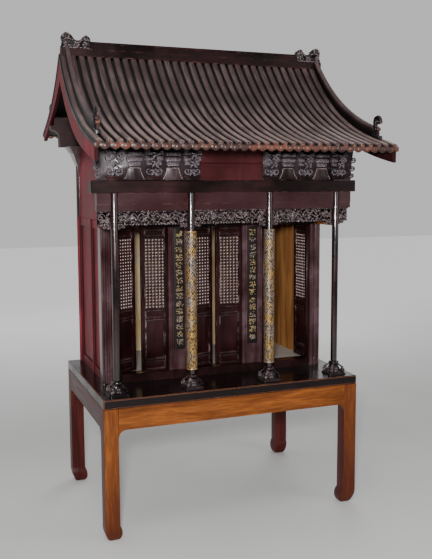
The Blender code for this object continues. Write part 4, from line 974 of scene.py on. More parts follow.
def eave_drips(side):
    """Drip tiles between the rib ends, each with a raised lower rim and a boss."""
    s = sizes()
    pitch = 2 * HALF_WIDTH / s.ribs
    low = float(eave_level(side)) - EAVE_DROP + 0.001
    high = low + EAVE_DROP - RIB_HEIGHT
    near, far = sorted((side * (HALF_DEPTH - s.eave_plate), side * (HALF_DEPTH - 0.0016)))
    middles = -HALF_WIDTH + np.arange(1, s.ribs) * pitch
    moves = np.stack([middles, 0 * middles, 0 * middles], axis=1)
    half = pitch * 0.49
    plate = slab(drip_outline(half, low, high, s.drip_curve), "Y", near, far, 0.0008, rub=0.3, paint=1)
    across = np.linspace(-0.93, 0.93, 11)
    edge = low + 0.0014 + s.drip_curve * (1.0 - np.cos(0.5 * math.pi * across)) ** 0.8
    level = np.full(11, side * (HALF_DEPTH - 0.0014))
    path = np.stack([across * half, level, edge], axis=1)
    rim = strand(path, 0.0026, 0.0026, FRONT * side, 6, paint=1)
    boss_level = (low + high) / 2 + 0.002
    boss = dome(0.0, side * (HALF_DEPTH - 0.0017), boss_level, 0.0048, 0.0016, 8, side, paint=1)
    ends = []
    for hand in (-1, 1):
        outline = drip_outline(pitch * 0.245, low + s.drip_curve * 0.5, high, s.drip_curve * 0.5)
        outline[:, 0] += hand * (HALF_WIDTH - pitch * 0.25)
        ends.append(slab(outline, "Y", near, far, 0.0008, rub=0.4, paint=1))
    return [copies(shape, moves) for shape in (plate, rim, boss)] + ends


def build_roof():
    """Both slopes with the discs and drip tiles along their eaves."""
    finishes = [tile_paint(), eave_paint()]
    for name, side in (("front", -1), ("rear", 1)):
        parts = [tile_slope(side), eave_discs(side)] + eave_drips(side)
        piece(f"tiles_{name}", parts, finishes, [f"roof_{name}"], sharp=50.0)


def gable_pair(side):
    """The curved boards under one verge: their depth grows evenly to the ridge in front, and as a
    cube behind."""
    low, high = span("gable_boards_left" if side < 0 else "gable_boards_right")

    def lower(y):
        share = slope_share(y)
        front = GABLE_EAVE_FRONT + (GABLE_RIDGE - GABLE_EAVE_FRONT) * share
        rear = GABLE_EAVE_REAR + (GABLE_RIDGE - GABLE_EAVE_REAR) * share**3
        return roof_under(y) - np.where(y < RIDGE_Y, front, rear)

    ys = np.concatenate([np.linspace(low[1], RIDGE_Y, 40), np.linspace(RIDGE_Y, high[1], 30)[1:]])
    under = np.stack([ys, lower(ys)], axis=1)
    over = np.stack([ys, roof_under(ys) - 2 * GAP], axis=1)[::-1]
    board = slab(np.concatenate([under, over]), "X", low[0], high[0], 0.0012)
    outer = low[0] if side < 0 else high[0]
    inner = outer - side * 0.0006
    lines = []
    for rise in (0.006, 0.013):
        path = np.stack([np.full(len(ys), inner), ys, lower(ys) + rise], axis=1)[1:-1]
        lines.append(strand(path, 0.0022, 0.0012, np.array((side, 0.0, 0.0)), 6, 0.8, paint=1))
    return [board] + lines


# Curls of a hanging ridge's scroll: place forward and up from its foot, radius and start in degrees
SCROLL_CURLS = ((0.032, 0.058, 0.0105, 200.0), (0.030, 0.028, 0.0090, 120.0), (0.014, 0.070, 0.007, 20.0))

# A ridge head, in shares of its length and height. Outline; curls as place, radius, turns and start;
# brows as begin, end and rise
HEAD_LENGTHS = (0.0, 0.0, 0.03, 0.10, 0.20, 0.27, 0.32, 0.40, 0.50, 0.57, 0.62, 0.70, 0.82, 0.93, 0.985,
                0.97, 0.95, 0.97, 1.0, 1.0)
HEAD_HEIGHTS = (0.0, 0.55, 0.72, 0.82, 0.82, 0.72, 0.60, 0.52, 0.52, 0.62, 0.78, 0.90, 0.93, 0.86, 0.72,
                0.55, 0.40, 0.22, 0.12, 0.0)
HEAD_CURLS = ((0.15, 0.70, 0.0125, 1.4, 200.0), (0.80, 0.74, 0.0150, 1.5, -20.0),
              (0.50, 0.24, 0.0115, 1.3, 160.0), (0.86, 0.26, 0.0105, 1.3, 20.0),
              (0.22, 0.24, 0.0110, 1.3, 80.0))
HEAD_BROWS = (((0.02, 0.50), (0.34, 0.46), 0.10), ((0.56, 0.50), (0.95, 0.48), 0.10),
              ((0.04, 0.06), (0.94, 0.06), 0.0), ((0.30, 0.58), (0.56, 0.44), -0.16))


def hanging(side_x, side_y):
    """The board down one verge with a round back, ending in a standing scroll."""
    name = f"hanging_ridge_{'front' if side_y < 0 else 'rear'}_{'left' if side_x < 0 else 'right'}"
    low, high = span(name)
    middle = (low[0] + high[0]) / 2
    begin = high[1] if side_y < 0 else low[1]
    foot = low[1] if side_y < 0 else high[1]
    end = foot - side_y * 0.048
    ys = np.linspace(begin, end, 34)
    across = np.array((-0.010, -0.010, -0.0095, -0.007, 0.0, 0.007, 0.0095, 0.010, 0.010))
    rise = np.array((0.0, 0.030, 0.037, 0.042, 0.044, 0.042, 0.037, 0.030, 0.0))
    grid = (len(ys), len(across))
    x = np.broadcast_to(middle + across, grid)
    y = np.broadcast_to(ys[:, None], grid)
    z = roof_top(ys)[:, None] + np.where(rise == 0.0, 2 * GAP, rise)
    rub = np.broadcast_to(np.array((0, 0.3, 0.7, 0.9, 1.0, 0.9, 0.7, 0.3, 0)), grid)
    parts = [surface(np.stack([x, y, z], axis=-1), wrap_columns=True, caps=True, rub=rub * 0.6)]
    sole = np.linspace(end - side_y * 0.004, foot, 8)
    base = np.concatenate([
        np.stack([sole, roof_top(sole) + 2 * GAP], axis=1),
        np.stack([sole, roof_top(sole) + 0.012], axis=1)[::-1],
    ])
    parts.append(slab(base, "X", middle - 0.0095, middle + 0.0095, 0.001, paint=1))
    ground = float(roof_top(np.array(end)))

    def at(points):
        points = np.asarray(points, float)
        depth = end + side_y * points[:, 0]
        return np.stack([np.full(len(points), middle), depth, ground + points[:, 1]], axis=1)

    side_up = np.array((1.0, 0.0, 0.0))
    stem = bend(0.036, 0.038, 0.026, 175.0, 250.0, 5)[::-1]
    stem = np.concatenate([[(0.020, 0.004)], stem, bend(0.026, 0.056, 0.019, 190.0, -20.0, 10)])
    swell = 0.014 + 0.004 * np.sin(np.linspace(0.0, 3.0, len(stem)))
    parts.append(strand(at(stem), swell, 0.0185, side_up, 10, 0.8))
    for forward, up, radius, start in SCROLL_CURLS:
        path = curl(forward, up, radius, 1.25, start, 16)
        parts.append(strand(at(path), 0.0065, 0.0190, side_up, 8, 0.9, paint=1))
    return name, parts


def finial_parts(side):
    """A curled head at the ridge's end: a body that rises at both ends of a saddle, with spiral
    curls and brows on both of its faces."""
    low, high = span("finial_left" if side < 0 else "finial_right")
    length, height = high[0] - low[0], high[2] - low[2]
    half = (high[1] - low[1]) / 2
    base = high[0] if side < 0 else low[0]

    def at(u, v):
        u, v = np.asarray(u, float), np.asarray(v, float)
        return np.stack([base + side * u * length, low[2] + v * height], axis=-1)

    middle_low, middle_high = RIDGE_Y - half + 0.004, RIDGE_Y + half - 0.004
    parts = [slab(at(HEAD_LENGTHS, HEAD_HEIGHTS), "Y", middle_low, middle_high, 0.003, rub=0.12)]
    for face in (-1, 1):
        level = RIDGE_Y + face * (half - 0.0045)
        up = np.array((0.0, face, 0.0))
        for forward, rise, radius, turns, start in HEAD_CURLS:
            centre = at(forward, rise)
            begin = start if side > 0 else 180.0 - start
            path = lift(curl(centre[0], centre[1], radius, turns * side, begin, 20), "Y", level)
            parts.append(strand(path, np.linspace(0.0088, 0.0050, 20), 0.0086, up, 8))
        for begin, end, rise in HEAD_BROWS:
            share = np.linspace(0.0, 1.0, 10)
            line = at(begin[0] + (end[0] - begin[0]) * share,
                      begin[1] + (end[1] - begin[1]) * share + rise * np.sin(math.pi * share))
            parts.append(strand(lift(line, "Y", level), 0.0066, 0.0080, up, 6))
    return parts


def build_ridges():
    """Gable boards, ridge heads and the four hanging ridges."""
    hanging_finishes = [lacquered("ridge_side"), eave_paint()]
    for side, word in ((-1, "left"), (1, "right")):
        gables = lacquers("gable_lacquer", "line_paint")
        piece(f"gables_{word}", gable_pair(side), gables, [f"gable_boards_{word}"])
        piece(f"ridge_head_{word}", finial_parts(side), lacquers("carving_finish"), [f"finial_{word}"],
              sharp=50.0)
        for side_y in (-1, 1):
            name, parts = hanging(side, side_y)
            piece(name + "_fine", parts, hanging_finishes, [name], sharp=50.0)


# Beams, friezes and brackets


# Curls beside a column: place away from it, share of the drop and radius
SPANDREL_CURLS = ((0.024, 0.3, 0.0085), (0.038, 0.05, 0.0065), (0.021, -0.55, 0.0060))
FRIEZE_DROP = 0.018
COLUMN_CLEAR = 0.0153


def vine(low_x, high_x, middle, swing, wave, phase, level):
    """A stem that swings up and down as a sine along the band."""
    count = max(8, int((high_x - low_x) / 0.0035))
    x = np.linspace(low_x, high_x, count)
    z = middle + swing * np.sin(2 * math.pi * (x - low_x) / wave + phase)
    return strand(np.stack([x, np.full(count, level), z], axis=1), 0.0036, 0.0050, sides=6)


def flower(radius, petals=5):
    """Petals round a boss, on the front of a plane at the origin."""
    petal = leaf(radius, radius * 0.72, 0.0045)
    turns = np.arange(petals) * 2 * math.pi / petals
    return [copies(petal, np.zeros((petals, 3)), turns), dome(0.0, -0.001, 0.0, radius * 0.30, 0.0032, 6)]


def frieze_parts(low_x, high_x, bottom, top, level, columns, drop):
    """Carved openwork under a rail and before a backing board: crossing vines, rows of leaves, flowers
    on a rhythm, small bosses along the foot, and a deeper spandrel of curls beside each column."""
    height = top - bottom
    middle = (top + bottom) / 2
    parts = [
        bar((low_x, level - 0.004, top - 0.0045), (high_x, level + 0.006, top), 0.001, rub=0.5),
        # The backing board behind the openwork has a rub value of 0, so the finish paints it near-black:
        # painted shade behind the carving.
        bar((low_x, level + 0.0060, bottom + 0.001), (high_x, level + 0.0080, top - 0.003), 0.0005),
    ]
    rng = np.random.default_rng(int(1000 * (high_x - low_x)))
    wave = 0.062
    for phase, swing in ((0.0, 0.30), (math.pi, 0.30), (math.pi / 2, 0.16)):
        parts.append(vine(low_x + 0.003, high_x - 0.003, middle, swing * height, wave, phase, level))
    count = int((high_x - low_x) / 0.0082)
    x = np.linspace(low_x + 0.008, high_x - 0.008, count)
    for row in range(4):
        z = bottom + height * (0.12 + 0.25 * row) + rng.normal(0.0, 0.0018, count)
        turns = rng.uniform(0.0, 2 * math.pi, count)
        moves = np.stack([x + rng.normal(0.0, 0.0016, count), np.full(count, level - 0.001), z], axis=1)
        small = leaf(0.0115, 0.0056, 0.0055, 0.15)
        parts.append(copies(small, moves, turns, rng.uniform(0.75, 1.15, count)))
    blooms = max(2, int((high_x - low_x) / wave))
    x = low_x + (np.arange(blooms) + 0.5) * (high_x - low_x) / blooms
    z = middle + height * 0.13 * np.where(np.arange(blooms) % 2, 1.0, -1.0)
    moves = np.stack([x, np.full(blooms, level - 0.0025), z], axis=1)
    parts += [copies(shape, moves, rng.uniform(0.0, 1.2, blooms)) for shape in flower(0.0105)]
    scallops = int((high_x - low_x) / 0.011)
    x = low_x + (np.arange(scallops) + 0.5) * (high_x - low_x) / scallops
    moves = np.stack([x, np.full(scallops, level - 0.001), np.full(scallops, bottom + 0.003)], axis=1)
    parts.append(copies(dome(0.0, 0.0, 0.0, 0.0046, 0.0035, 7), moves))
    for place in columns:
        for hand in (-1, 1):
            if not low_x + 0.012 < place + hand * 0.03 < high_x - 0.006:
                continue
            for away, down, radius in SPANDREL_CURLS:
                height = bottom - drop * (1 - down) * 0.35
                flat = curl(place + hand * away, height, radius, 1.3 * hand, 90.0, 16)
                parts.append(strand(lift(flat, "Y", level - 0.001), 0.0040, 0.0065, sides=6))
            corner = [(place + hand * away, bottom - down) for away, down in
                      ((0.0155, 0.0), (0.056, 0.0), (0.040, 0.005), (0.026, drop * 0.75), (0.0155, drop))]
            parts.append(slab(corner, "Y", level, level + 0.005, 0.0006, rub=0.1))
    return parts


def build_friezes():
    """The three friezes, each pressed back where it passes a column."""
    for word in ("left", "centre", "right"):
        low, high = span(f"frieze_{word}")
        level = float(low[1]) + 0.0055
        bottom = low[2] + FRIEZE_DROP + 0.002
        inside = [x for x in COLUMN_PLACES if low[0] - 0.01 < x < high[0] + 0.01]
        parts = frieze_parts(low[0] + GAP, high[0] - GAP, bottom, high[2], level, inside, FRIEZE_DROP)
        parts = [keep_off_columns(shape, float(high[1])) for shape in parts]
        piece(f"openwork_{word}", parts, lacquers("carving_finish"), [f"frieze_{word}"],
              sharp=60.0)


def keep_off_columns(shape, back):
    """Carving close to a column is pressed back behind it."""
    def press(points):
        near = np.min(np.abs(points[:, 0][:, None] - np.array(COLUMN_PLACES)), axis=1)
        limit = COLUMN_Y + np.sqrt(np.maximum(COLUMN_CLEAR**2 - near**2, 0.0))
        wanted = np.where(near < COLUMN_CLEAR, np.maximum(points[:, 1], limit), points[:, 1])
        return np.stack([points[:, 0], np.minimum(wanted, back), points[:, 2]], axis=1)
    return moved(shape, press)


def bell_outline(x, low, high):
    """A bell's face: a wide foot, sides that curve in, and a flat crown."""
    share = np.linspace(0.0, 1.0, 9)
    half = 0.046 - 0.020 * np.sin(0.5 * math.pi * share) ** 0.8
    z = low + (high - low) * share
    right = np.stack([x + half, z], axis=1)
    left = np.stack([x - half, z], axis=1)[::-1]
    return np.concatenate([right, left])


def bowl_outline(x, low, high):
    """A bowl's face, wider towards its top."""
    share = np.linspace(0.0, 1.0, 7)
    half = 0.026 + 0.012 * share**1.8
    right = np.stack([x + half, low + (high - low) * share], axis=1)
    left = right[::-1] * np.array((-1.0, 1.0)) + np.array((2 * x, 0.0))
    return np.concatenate([right, left])


def cluster(x, face, low):
    """One bracket cluster: a plain bowl, two facing scrolls with a petalled nose between them, and
    stepped arms above."""
    parts = [slab(bowl_outline(x, low, low + 0.016), "Y", face - 0.013, face + 0.002, 0.001, paint=1)]
    for hand in (-1, 1):
        flat = curl(x + hand * 0.020, low + 0.035, 0.0155, 1.35 * hand, 90.0 + hand * 60.0, 22)
        parts.append(strand(lift(flat, "Y", face - 0.010), np.linspace(0.0085, 0.005, 22), 0.012, sides=8))
    for reach, rise, length in ((0.022, 0.030, 0.020), (0.034, 0.062, 0.022), (0.048, 0.094, 0.022)):
        share = np.linspace(0.0, 1.0, 9)
        path = np.stack([np.full(9, x), face - reach * share, low + rise - 0.006 + 0.012 * share**2], axis=1)
        parts.append(strand(path, 0.012 - 0.004 * share, 0.013 - 0.005 * share, UP, 8))
        tip = np.array([(x, face - reach + 0.002, low + rise + 0.002)] * 4)
        turns = np.radians((-50.0, -130.0, 25.0, 155.0))
        parts.append(copies(leaf(length, 0.0095, 0.008, 0.12), tip, turns, (1.0, 1.0, 0.8, 0.8)))
    for rise, half, depth in ((0.058, 0.028, 0.012), (0.075, 0.034, 0.020), (0.097, 0.034, 0.026)):
        for hand in (-1, 1):
            near, far = sorted((x + hand * 0.009, x + hand * half))
            corners = (near, face - depth, low + rise), (far, face + 0.002, low + rise + 0.010)
            parts.append(bar(*corners, 0.0012, rub=0.8))
        for hand in (-0.8, 0.8):
            block = [(x + hand * half + out, low + rise + up) for out, up in
                     ((-0.0065, 0.010), (0.0065, 0.010), (0.0085, 0.017), (-0.0085, 0.017))]
            parts.append(slab(block, "Y", face - depth + 0.001, face + 0.001, 0.0008, rub=0.5))
    return parts


def bell(x, face, low):
    """A bell-shaped boss with a raised rim line, and the three bars that lie over it."""
    top = low + 0.049
    outline = bell_outline(x, low + 0.0005, top)
    parts = [slab(outline, "Y", face - 0.005, face + 0.002, 0.0015, rub=0.5, paint=3)]
    rim = inset(outline, 0.0022)[1:-1]
    path = lift(rim, "Y", face - 0.0052)
    parts.append(strand(path, 0.0022, 0.0026, sides=6, paint=2))
    for rise, half, depth in ((0.0555, 0.024, 0.012), (0.0725, 0.030, 0.018), (0.094, 0.030, 0.022)):
        front = face - depth
        section = [(front, low + rise), (face + 0.002, low + rise), (face + 0.002, low + rise + 0.015),
                   (front + 0.006, low + rise + 0.015), (front, low + rise + 0.010)]
        parts.append(slab(section, "X", x - half, x + half, 0.003, rub=0.9))
    return parts


def build_brackets():
    """The right set of brackets, and the left one as its mirror image."""
    face, low = float(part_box("architrave")[0][1]), float(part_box("architrave")[1][2]) + GAP
    finishes = lacquers("bracket_lacquer", "beam_lacquer", "line_paint", "carving_finish")
    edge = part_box("architrave")[1][0]
    outer, inner = COLUMN_PLACES[3], COLUMN_PLACES[2]
    spacing = (outer - inner) / 2
    box_low, box_high = span("bracket_set_right")
    plate = box_high[2] - 0.015
    near, end, reach = box_low[0], edge - 0.030, box_high[0]
    share = np.linspace(0.0, 1.0, 8)
    flare = np.stack([end + 0.007 + 0.015 * share**1.6, low + (plate - low) * share], axis=1)
    crown = [(reach, plate), (reach, box_high[2]), (near, box_high[2])]
    outline = np.concatenate([[(near, low)], flare, crown])
    # The plate and the bar behind the clusters carry low rub values, so the finish darkens them part way with
    # painted shade.
    parts = [
        slab(outline, "Y", face, face + 0.0157, 0.001, rub=0.28, paint=3),
        bar((near, box_low[1], plate + 0.002), (reach, face + 0.004, box_high[2]), 0.0015, rub=0.3),
    ]
    for i in range(3):
        parts += cluster(inner + i * spacing, face, low)
    for i in (0.5, 1.5):
        parts += bell(inner + i * spacing, face, low)
    parts += end_corbel(end, face, low)
    parts = kept_inside(parts, box_low, box_high)
    piece("brackets_right", parts, finishes, ["bracket_set_right"], sharp=50.0)
    piece("brackets_left", mirrored(parts), finishes, ["bracket_set_left"], sharp=50.0)


def end_corbel(end, face, low):
    """Scrolls that flare up and out under the eave beam at the set's outer end."""
    parts = []
    for rise, radius in ((0.020, 0.010), (0.050, 0.012), (0.085, 0.013)):
        flat = curl(end + 0.004 + rise * 0.12, low + rise, radius, 1.3, 200.0, 18)
        parts.append(strand(lift(flat, "Y", face - 0.006), np.linspace(0.008, 0.004, 18), 0.014, sides=8))
    return parts


# Porch columns


def squared_rings(x, rows, sides=64):
    """Rings between a circle and a square: the radius grows towards the corners by the squareness
    and is waved four times round by the ripple."""
    angles = np.linspace(0.0, 2.0 * math.pi, sides, endpoint=False)
    rows = np.asarray(rows, float)
    z, size, squareness, ripple = (rows[:, i][:, None] for i in range(4))
    square = np.minimum(1.0 / np.maximum(np.abs(np.cos(angles)), np.abs(np.sin(angles))), 1.32)
    radius = size * (1.0 + squareness * (square - 1.0)) * (1.0 - ripple * np.cos(4 * angles))
    points = np.stack([x + radius * np.cos(angles), COLUMN_Y + radius * np.sin(angles),
                       np.broadcast_to(z, radius.shape)], axis=-1)
    return surface(points, wrap_columns=True, caps=True, rub=0.25)


def base_parts(name, x):
    """A carved foot: a thin plinth, a waisted body, a scroll on each corner and petals between
    them, under a round collar."""
    low, high = span(name)
    half, height = (high[0] - low[0]) / 2, high[2] - low[2]
    rows = [(0.0, half, 1.0, 0.0), (0.004, half, 1.0, 0.0), (0.0045, half * 0.93, 1.0, 0.0),
            (0.009, half * 0.93, 1.0, 0.0), (0.0095, half * 0.82, 1.0, 0.0), (0.013, half * 0.66, 0.7, 0.05),
            (0.022, half * 0.52, 0.5, 0.06), (0.032, half * 0.47, 0.2, 0.03), (0.038, half * 0.44, 0.0, 0.0)]
    parts = [squared_rings(x, [(low[2] + r[0], *r[1:]) for r in rows])]
    collar = [(0.0, 0.036), (0.018, 0.036), (0.0205, 0.0385)]
    turn = np.radians(np.linspace(-80.0, 80.0, 9))
    collar += [(0.0150 + 0.0075 * math.cos(t), height - 0.0085 + 0.0075 * math.sin(t)) for t in turn]
    collar += [(0.0, height - 0.0004)]
    parts.append(turned([(r, low[2] + z) for r, z in collar], x, COLUMN_Y, 32, rub=0.1, paint=1))
    for i in range(4):
        angle = math.radians(45.0 + 90.0 * i)
        outward = np.array((math.cos(angle), math.sin(angle)))
        across = np.array((-outward[1], outward[0], 0.0))
        flat = curl(half * 1.02, 0.0185, 0.0100, 1.35, 80.0, 18)
        arm = np.stack([np.linspace(half * 0.50, half * 1.0, 6), np.linspace(0.041, 0.0285, 6)], axis=1)
        flat = np.concatenate([arm[:-1], flat])
        path = np.stack([x + flat[:, 0] * outward[0], COLUMN_Y + flat[:, 0] * outward[1],
                         low[2] + flat[:, 1]], axis=1)
        parts.append(strand(path, 0.0058, 0.0125, across, 8))
    for i in range(4):
        angle = math.radians(90.0 * i)
        outward = np.array((math.cos(angle), math.sin(angle), 0.0))
        for rise, size in ((0.010, 0.011), (0.020, 0.008)):
            share = np.linspace(0.05, 0.95, 7)
            centre = np.array((x, COLUMN_Y, low[2] + rise)) + outward * (half * (0.72 - rise * 9))
            side = np.array((-outward[1], outward[0], 0.0))
            arch = 0.006 * np.sin(math.pi * share)
            path = centre + side * ((share - 0.5) * 2 * size)[:, None] + UP * arch[:, None]
            parts.append(strand(path, arch + 0.002, 0.006, outward, 6))
    return kept_inside(parts, low, high)


# Gilt sleeves: half of the arc in degrees, inner radius, cell of the diaper and rows and columns
SLEEVE_HALF_ARC = 105.0
SLEEVE_INNER = 0.0146
DIAPER_CELL = (0.0115, 0.0140)
SLEEVE_GRID = (280, 56)


def sleeve_parts(name, x):
    """A sleeve round the column's front: a grid over angle and height whose radius carries a small
    diamond diaper with curled middles, between plain rims."""
    low, high = span(name)
    outer = (high[0] - low[0]) / 2 - 0.0004
    levels, turns = SLEEVE_GRID
    begin, end = np.radians((270.0 - SLEEVE_HALF_ARC, 270.0 + SLEEVE_HALF_ARC))
    angle = np.linspace(begin, end, turns)
    z = np.linspace(low[2], high[2], levels)
    a, h = np.meshgrid(angle, z)
    arc = (a - begin) * outer
    u = arc * 2 * math.pi / DIAPER_CELL[0]
    v = (h - low[2]) * 2 * math.pi / DIAPER_CELL[1]
    diaper = np.abs(np.cos(u / 2 + v / 2)) * np.abs(np.cos(u / 2 - v / 2))
    swirl = 0.5 + 0.5 * np.cos(2.2 * u + 1.7 * np.sin(v)) * np.cos(1.9 * v + 1.3 * np.sin(u))
    relief = np.clip(0.55 * diaper + 0.55 * swirl, 0.0, 1.0)
    plain = np.minimum(h - low[2], high[2] - h)
    rim = np.where(plain < 0.0045, 1.0, np.where(plain < 0.0062, 0.0, relief))
    side = np.minimum(a - begin, end - a)
    rim = np.where(side < 0.08, 0.55, rim)
    radius = outer - sizes().sleeve_relief * (1.0 - rim)
    front = np.stack([x + radius * np.cos(a), COLUMN_Y + radius * np.sin(a), h], axis=-1)
    back_angle = angle[::-1][::3]
    b, hb = np.meshgrid(back_angle, z)
    back = np.stack([x + SLEEVE_INNER * np.cos(b), COLUMN_Y + SLEEVE_INNER * np.sin(b), hb], axis=-1)
    points = np.concatenate([front, back], axis=1)
    rub = np.concatenate([rim, np.zeros(b.shape)], axis=1)
    return [surface(points, wrap_columns=True, caps=True, rub=rub)]


def build_columns():
    """The four columns with their bases, and the sleeves on the two middle ones."""
    for i, x in enumerate(COLUMN_PLACES, start=1):
        low, high = span(f"column_{i}")
        radius = (high[0] - low[0]) / 2
        profile = [(0.0, low[2]), (radius * 0.985, low[2]), (radius, low[2] + 0.001),
                   (radius, high[2] - 0.001), (radius * 0.985, high[2]), (0.0, high[2])]
        piece(f"round_column_{i}", [turned(profile, x, COLUMN_Y, 48)], lacquers("column_lacquer"),
              [f"column_{i}"])
        finishes = lacquers("carving_finish", "column_lacquer")
        piece(f"carved_base_{i}", base_parts(f"column_base_{i}", x), finishes, [f"column_base_{i}"],
              sharp=50.0)
    gilding = gold_leaf("sleeve_gold", 0.36, 0.80, 0.6, colours().gold, colours().silver_beige)
    for word, x in (("left", COLUMN_PLACES[1]), ("right", COLUMN_PLACES[2])):
        piece(f"sleeve_{word}", sleeve_parts(f"gilt_sleeve_{word}", x), [gilding],
              [f"gilt_sleeve_{word}"], sharp=60.0)


# Case front


def post_outline(low, high, beads):
    """A post's section: flat sides and back, and round beads side by side across the front."""
    edges = np.linspace(low[0], high[0], len(beads) + 1)
    points = [(high[0], high[1]), (low[0], high[1])]
    for begin, end, depth in zip(edges[:-1], edges[1:], beads):
        if depth > 0:
            radius = (end - begin) / 2
            middle = (begin + end) / 2
            points += [(middle + radius * 0.94 * math.cos(t), low[1] + depth * (1 - math.sin(t)))
                       for t in np.linspace(math.pi, 0.0, 9)]
        else:
            points += [(begin + 0.0004, low[1] - depth), (end - 0.0004, low[1] - depth)]
    return np.array(points)


# Beads across a corner post and across each half of a pilaster: depth, below 0 for a plain step
POST_BEADS = (0.008, -0.007, 0.009, -0.006, 0.008)
PILASTER_BEADS = (0.006, -0.004, 0.006)


def build_posts():
    """The corner posts, and the pilasters with their gilt boards."""
    strokes = gold_leaf("stroke_gold", 0.10, 0.40, 0.2, colours().stroke_gold, colours().silver_beige)
    for word, side in (("left", -1), ("right", 1)):
        low, high = span(f"corner_post_{word}")
        parts = [slab(post_outline(low, high, POST_BEADS[::side]), "Z", low[2], high[2], 0.0008)]
        piece(f"beaded_post_{word}", parts, lacquers("post_lacquer"), [f"corner_post_{word}"])
        low, high = span(f"pilaster_{word}")
        board_low, board_high = span(f"inscription_{word}")
        parts = []
        for near, far in ((low[0], board_low[0] - GAP), (board_high[0] + GAP, high[0])):
            corners = np.array((near, low[1], 0.0)), np.array((far, high[1], 0.0))
            parts.append(slab(post_outline(*corners, PILASTER_BEADS), "Z", low[2], high[2], 0.0008))
        groove_low = (board_low[0] - 2 * GAP, low[1] + 0.005, low[2])
        groove_high = (board_high[0] + 2 * GAP, high[1], high[2])
        parts.append(bar(groove_low, groove_high, 0.0005))
        piece(f"beaded_pilaster_{word}", parts, lacquers("post_lacquer"), [f"pilaster_{word}"])
        finishes = [lacquered("gilt_board_ground"), strokes]
        piece(f"gilt_board_{word}", inscription_parts(board_low, board_high, 31 + side), finishes,
              [f"inscription_{word}"])


# Gilt boards: height of a group of dashes, its rows and places across, and a dash's length
GROUP_HEIGHT = 0.0325
GROUP_ROWS = 5
GROUP_PLACES = 4
DASH_LENGTH = 0.0082


def inscription_parts(low, high, seed):
    """A bowed board with rows of short gilt dashes, leaning at random: a pattern, and not letters."""
    across = np.linspace(-1.0, 1.0, 13)
    middle, half = (low[0] + high[0]) / 2, (high[0] - low[0]) / 2
    crown = low[1] + 0.0012 + 0.0030 * across**2
    bow = np.stack([middle + half * across, crown], axis=1)
    section = np.concatenate([bow, [(high[0], high[1]), (low[0], high[1])]])
    parts = [slab(section, "Z", low[2], high[2], 0.0008)]
    rng = np.random.default_rng(seed)
    groups = int((high[2] - low[2] - 0.012) / GROUP_HEIGHT)
    start = high[2] - 0.008 - groups * GROUP_HEIGHT
    counts = (np.arange(n) for n in (groups, GROUP_ROWS, GROUP_PLACES))
    group, row, column = (grid.ravel() for grid in np.meshgrid(*counts, indexing="ij"))
    z = start + (group + 0.12 + 0.76 * (row + 0.5) / GROUP_ROWS) * GROUP_HEIGHT
    x = -0.45 + 0.90 * column / (GROUP_PLACES - 1)
    keep = rng.uniform(size=len(z)) > 0.28
    x = x[keep] + rng.normal(0.0, 0.05, keep.sum())
    z = z[keep] + rng.normal(0.0, 0.0006, keep.sum())
    count = len(x)
    share = np.linspace(0.0, 1.0, 5)
    path = np.stack([(share - 0.5) * DASH_LENGTH, 0 * share, 0 * share], axis=1)
    width = sizes().stroke_width * (0.6 + 0.4 * np.sin(math.pi * share))
    dash = strand(path, width, 0.0014, sides=6, paint=1)
    y = low[1] + 0.0012 + 0.0030 * x**2 - 0.0002
    moves = np.stack([middle + half * x, y, z], axis=1)
    turns = rng.choice(np.radians((0.0, 0.0, 90.0, 35.0, -35.0)), count) + rng.normal(0.0, 0.15, count)
    parts.append(copies(dash, moves, turns, rng.uniform(0.6, 1.25, count)))
    return parts


# Door leaves


LEAVES = ("left_bay_left", "left_bay_right", "centre_bay_left", "centre_bay_right", "right_bay_left",
          "right_bay_right")
LEAF_ANGLES = (31.0, 0.0, 20.0, 0.0, 88.0, 88.0)
LEAF_THICKNESS = 0.018
LEAF_STILE = 0.0145
LEAF_RAIL = 0.009
PANEL_HEIGHTS = (0.034, 0.165, 0.030, None, 0.026)
LEAF_GAP = 0.0012
LEAF_CLEAR = 0.0045
PIN_RADIUS = 0.0039
PIN_REACH = 0.0044
BAY_SIDES = {
    "left": ("corner_post_left", "pilaster_left"),
    "centre": ("pilaster_left", "pilaster_right"),
    "right": ("pilaster_right", "corner_post_right"),
}


def lattice_bars(low_x, high_x, low_z, high_z, columns, rows, width):
    """Two sets of slanting bars: each is a straight line of the diagonal grid, cut where it leaves
    the field."""
    wide, tall = high_x - low_x, high_z - low_z
    step_x, step_z = wide / columns, tall / rows
    slope = step_z / step_x
    parts = []
    for hand, depth in ((1, 0.0056), (-1, 0.0052)):
        starts = np.arange(-rows + 1, columns) * step_x
        begin = np.maximum(starts, 0.0)
        end = np.minimum(starts + rows * step_x, wide)
        z_begin, z_end = (begin - starts) * slope, (end - starts) * slope
        if hand < 0:
            begin, end = wide - begin, wide - end
        lengths = np.hypot(end - begin, z_end - z_begin)
        keep = lengths > width
        middle = np.stack([(begin + end) / 2 + low_x, 0 * begin, (z_begin + z_end) / 2 + low_z], axis=1)
        turns = np.arctan2(z_end - z_begin, end - begin)[keep]
        for place, turn, length in zip(middle[keep], turns, lengths[keep]):
            corner = np.array((length / 2, depth, width / 2))
            parts.append(copies(bar(-corner, corner, 0.0006, rub=0.45, paint=2), place, turn))
    across, up = (np.arange(columns) + 0.5) * step_x, (np.arange(rows) + 0.5) * step_z
    x, z = np.meshgrid(across, up, indexing="ij")
    places = np.stack([low_x + x.ravel(), 0.0 * x.ravel(), low_z + z.ravel()], axis=1)
    for face in (-1.0, 1.0):
        boss = dome(0.0, face * 0.0050, 0.0, width * 0.86, 0.0036, 8, face, paint=1)
        parts.append(copies(boss, places))
    return parts


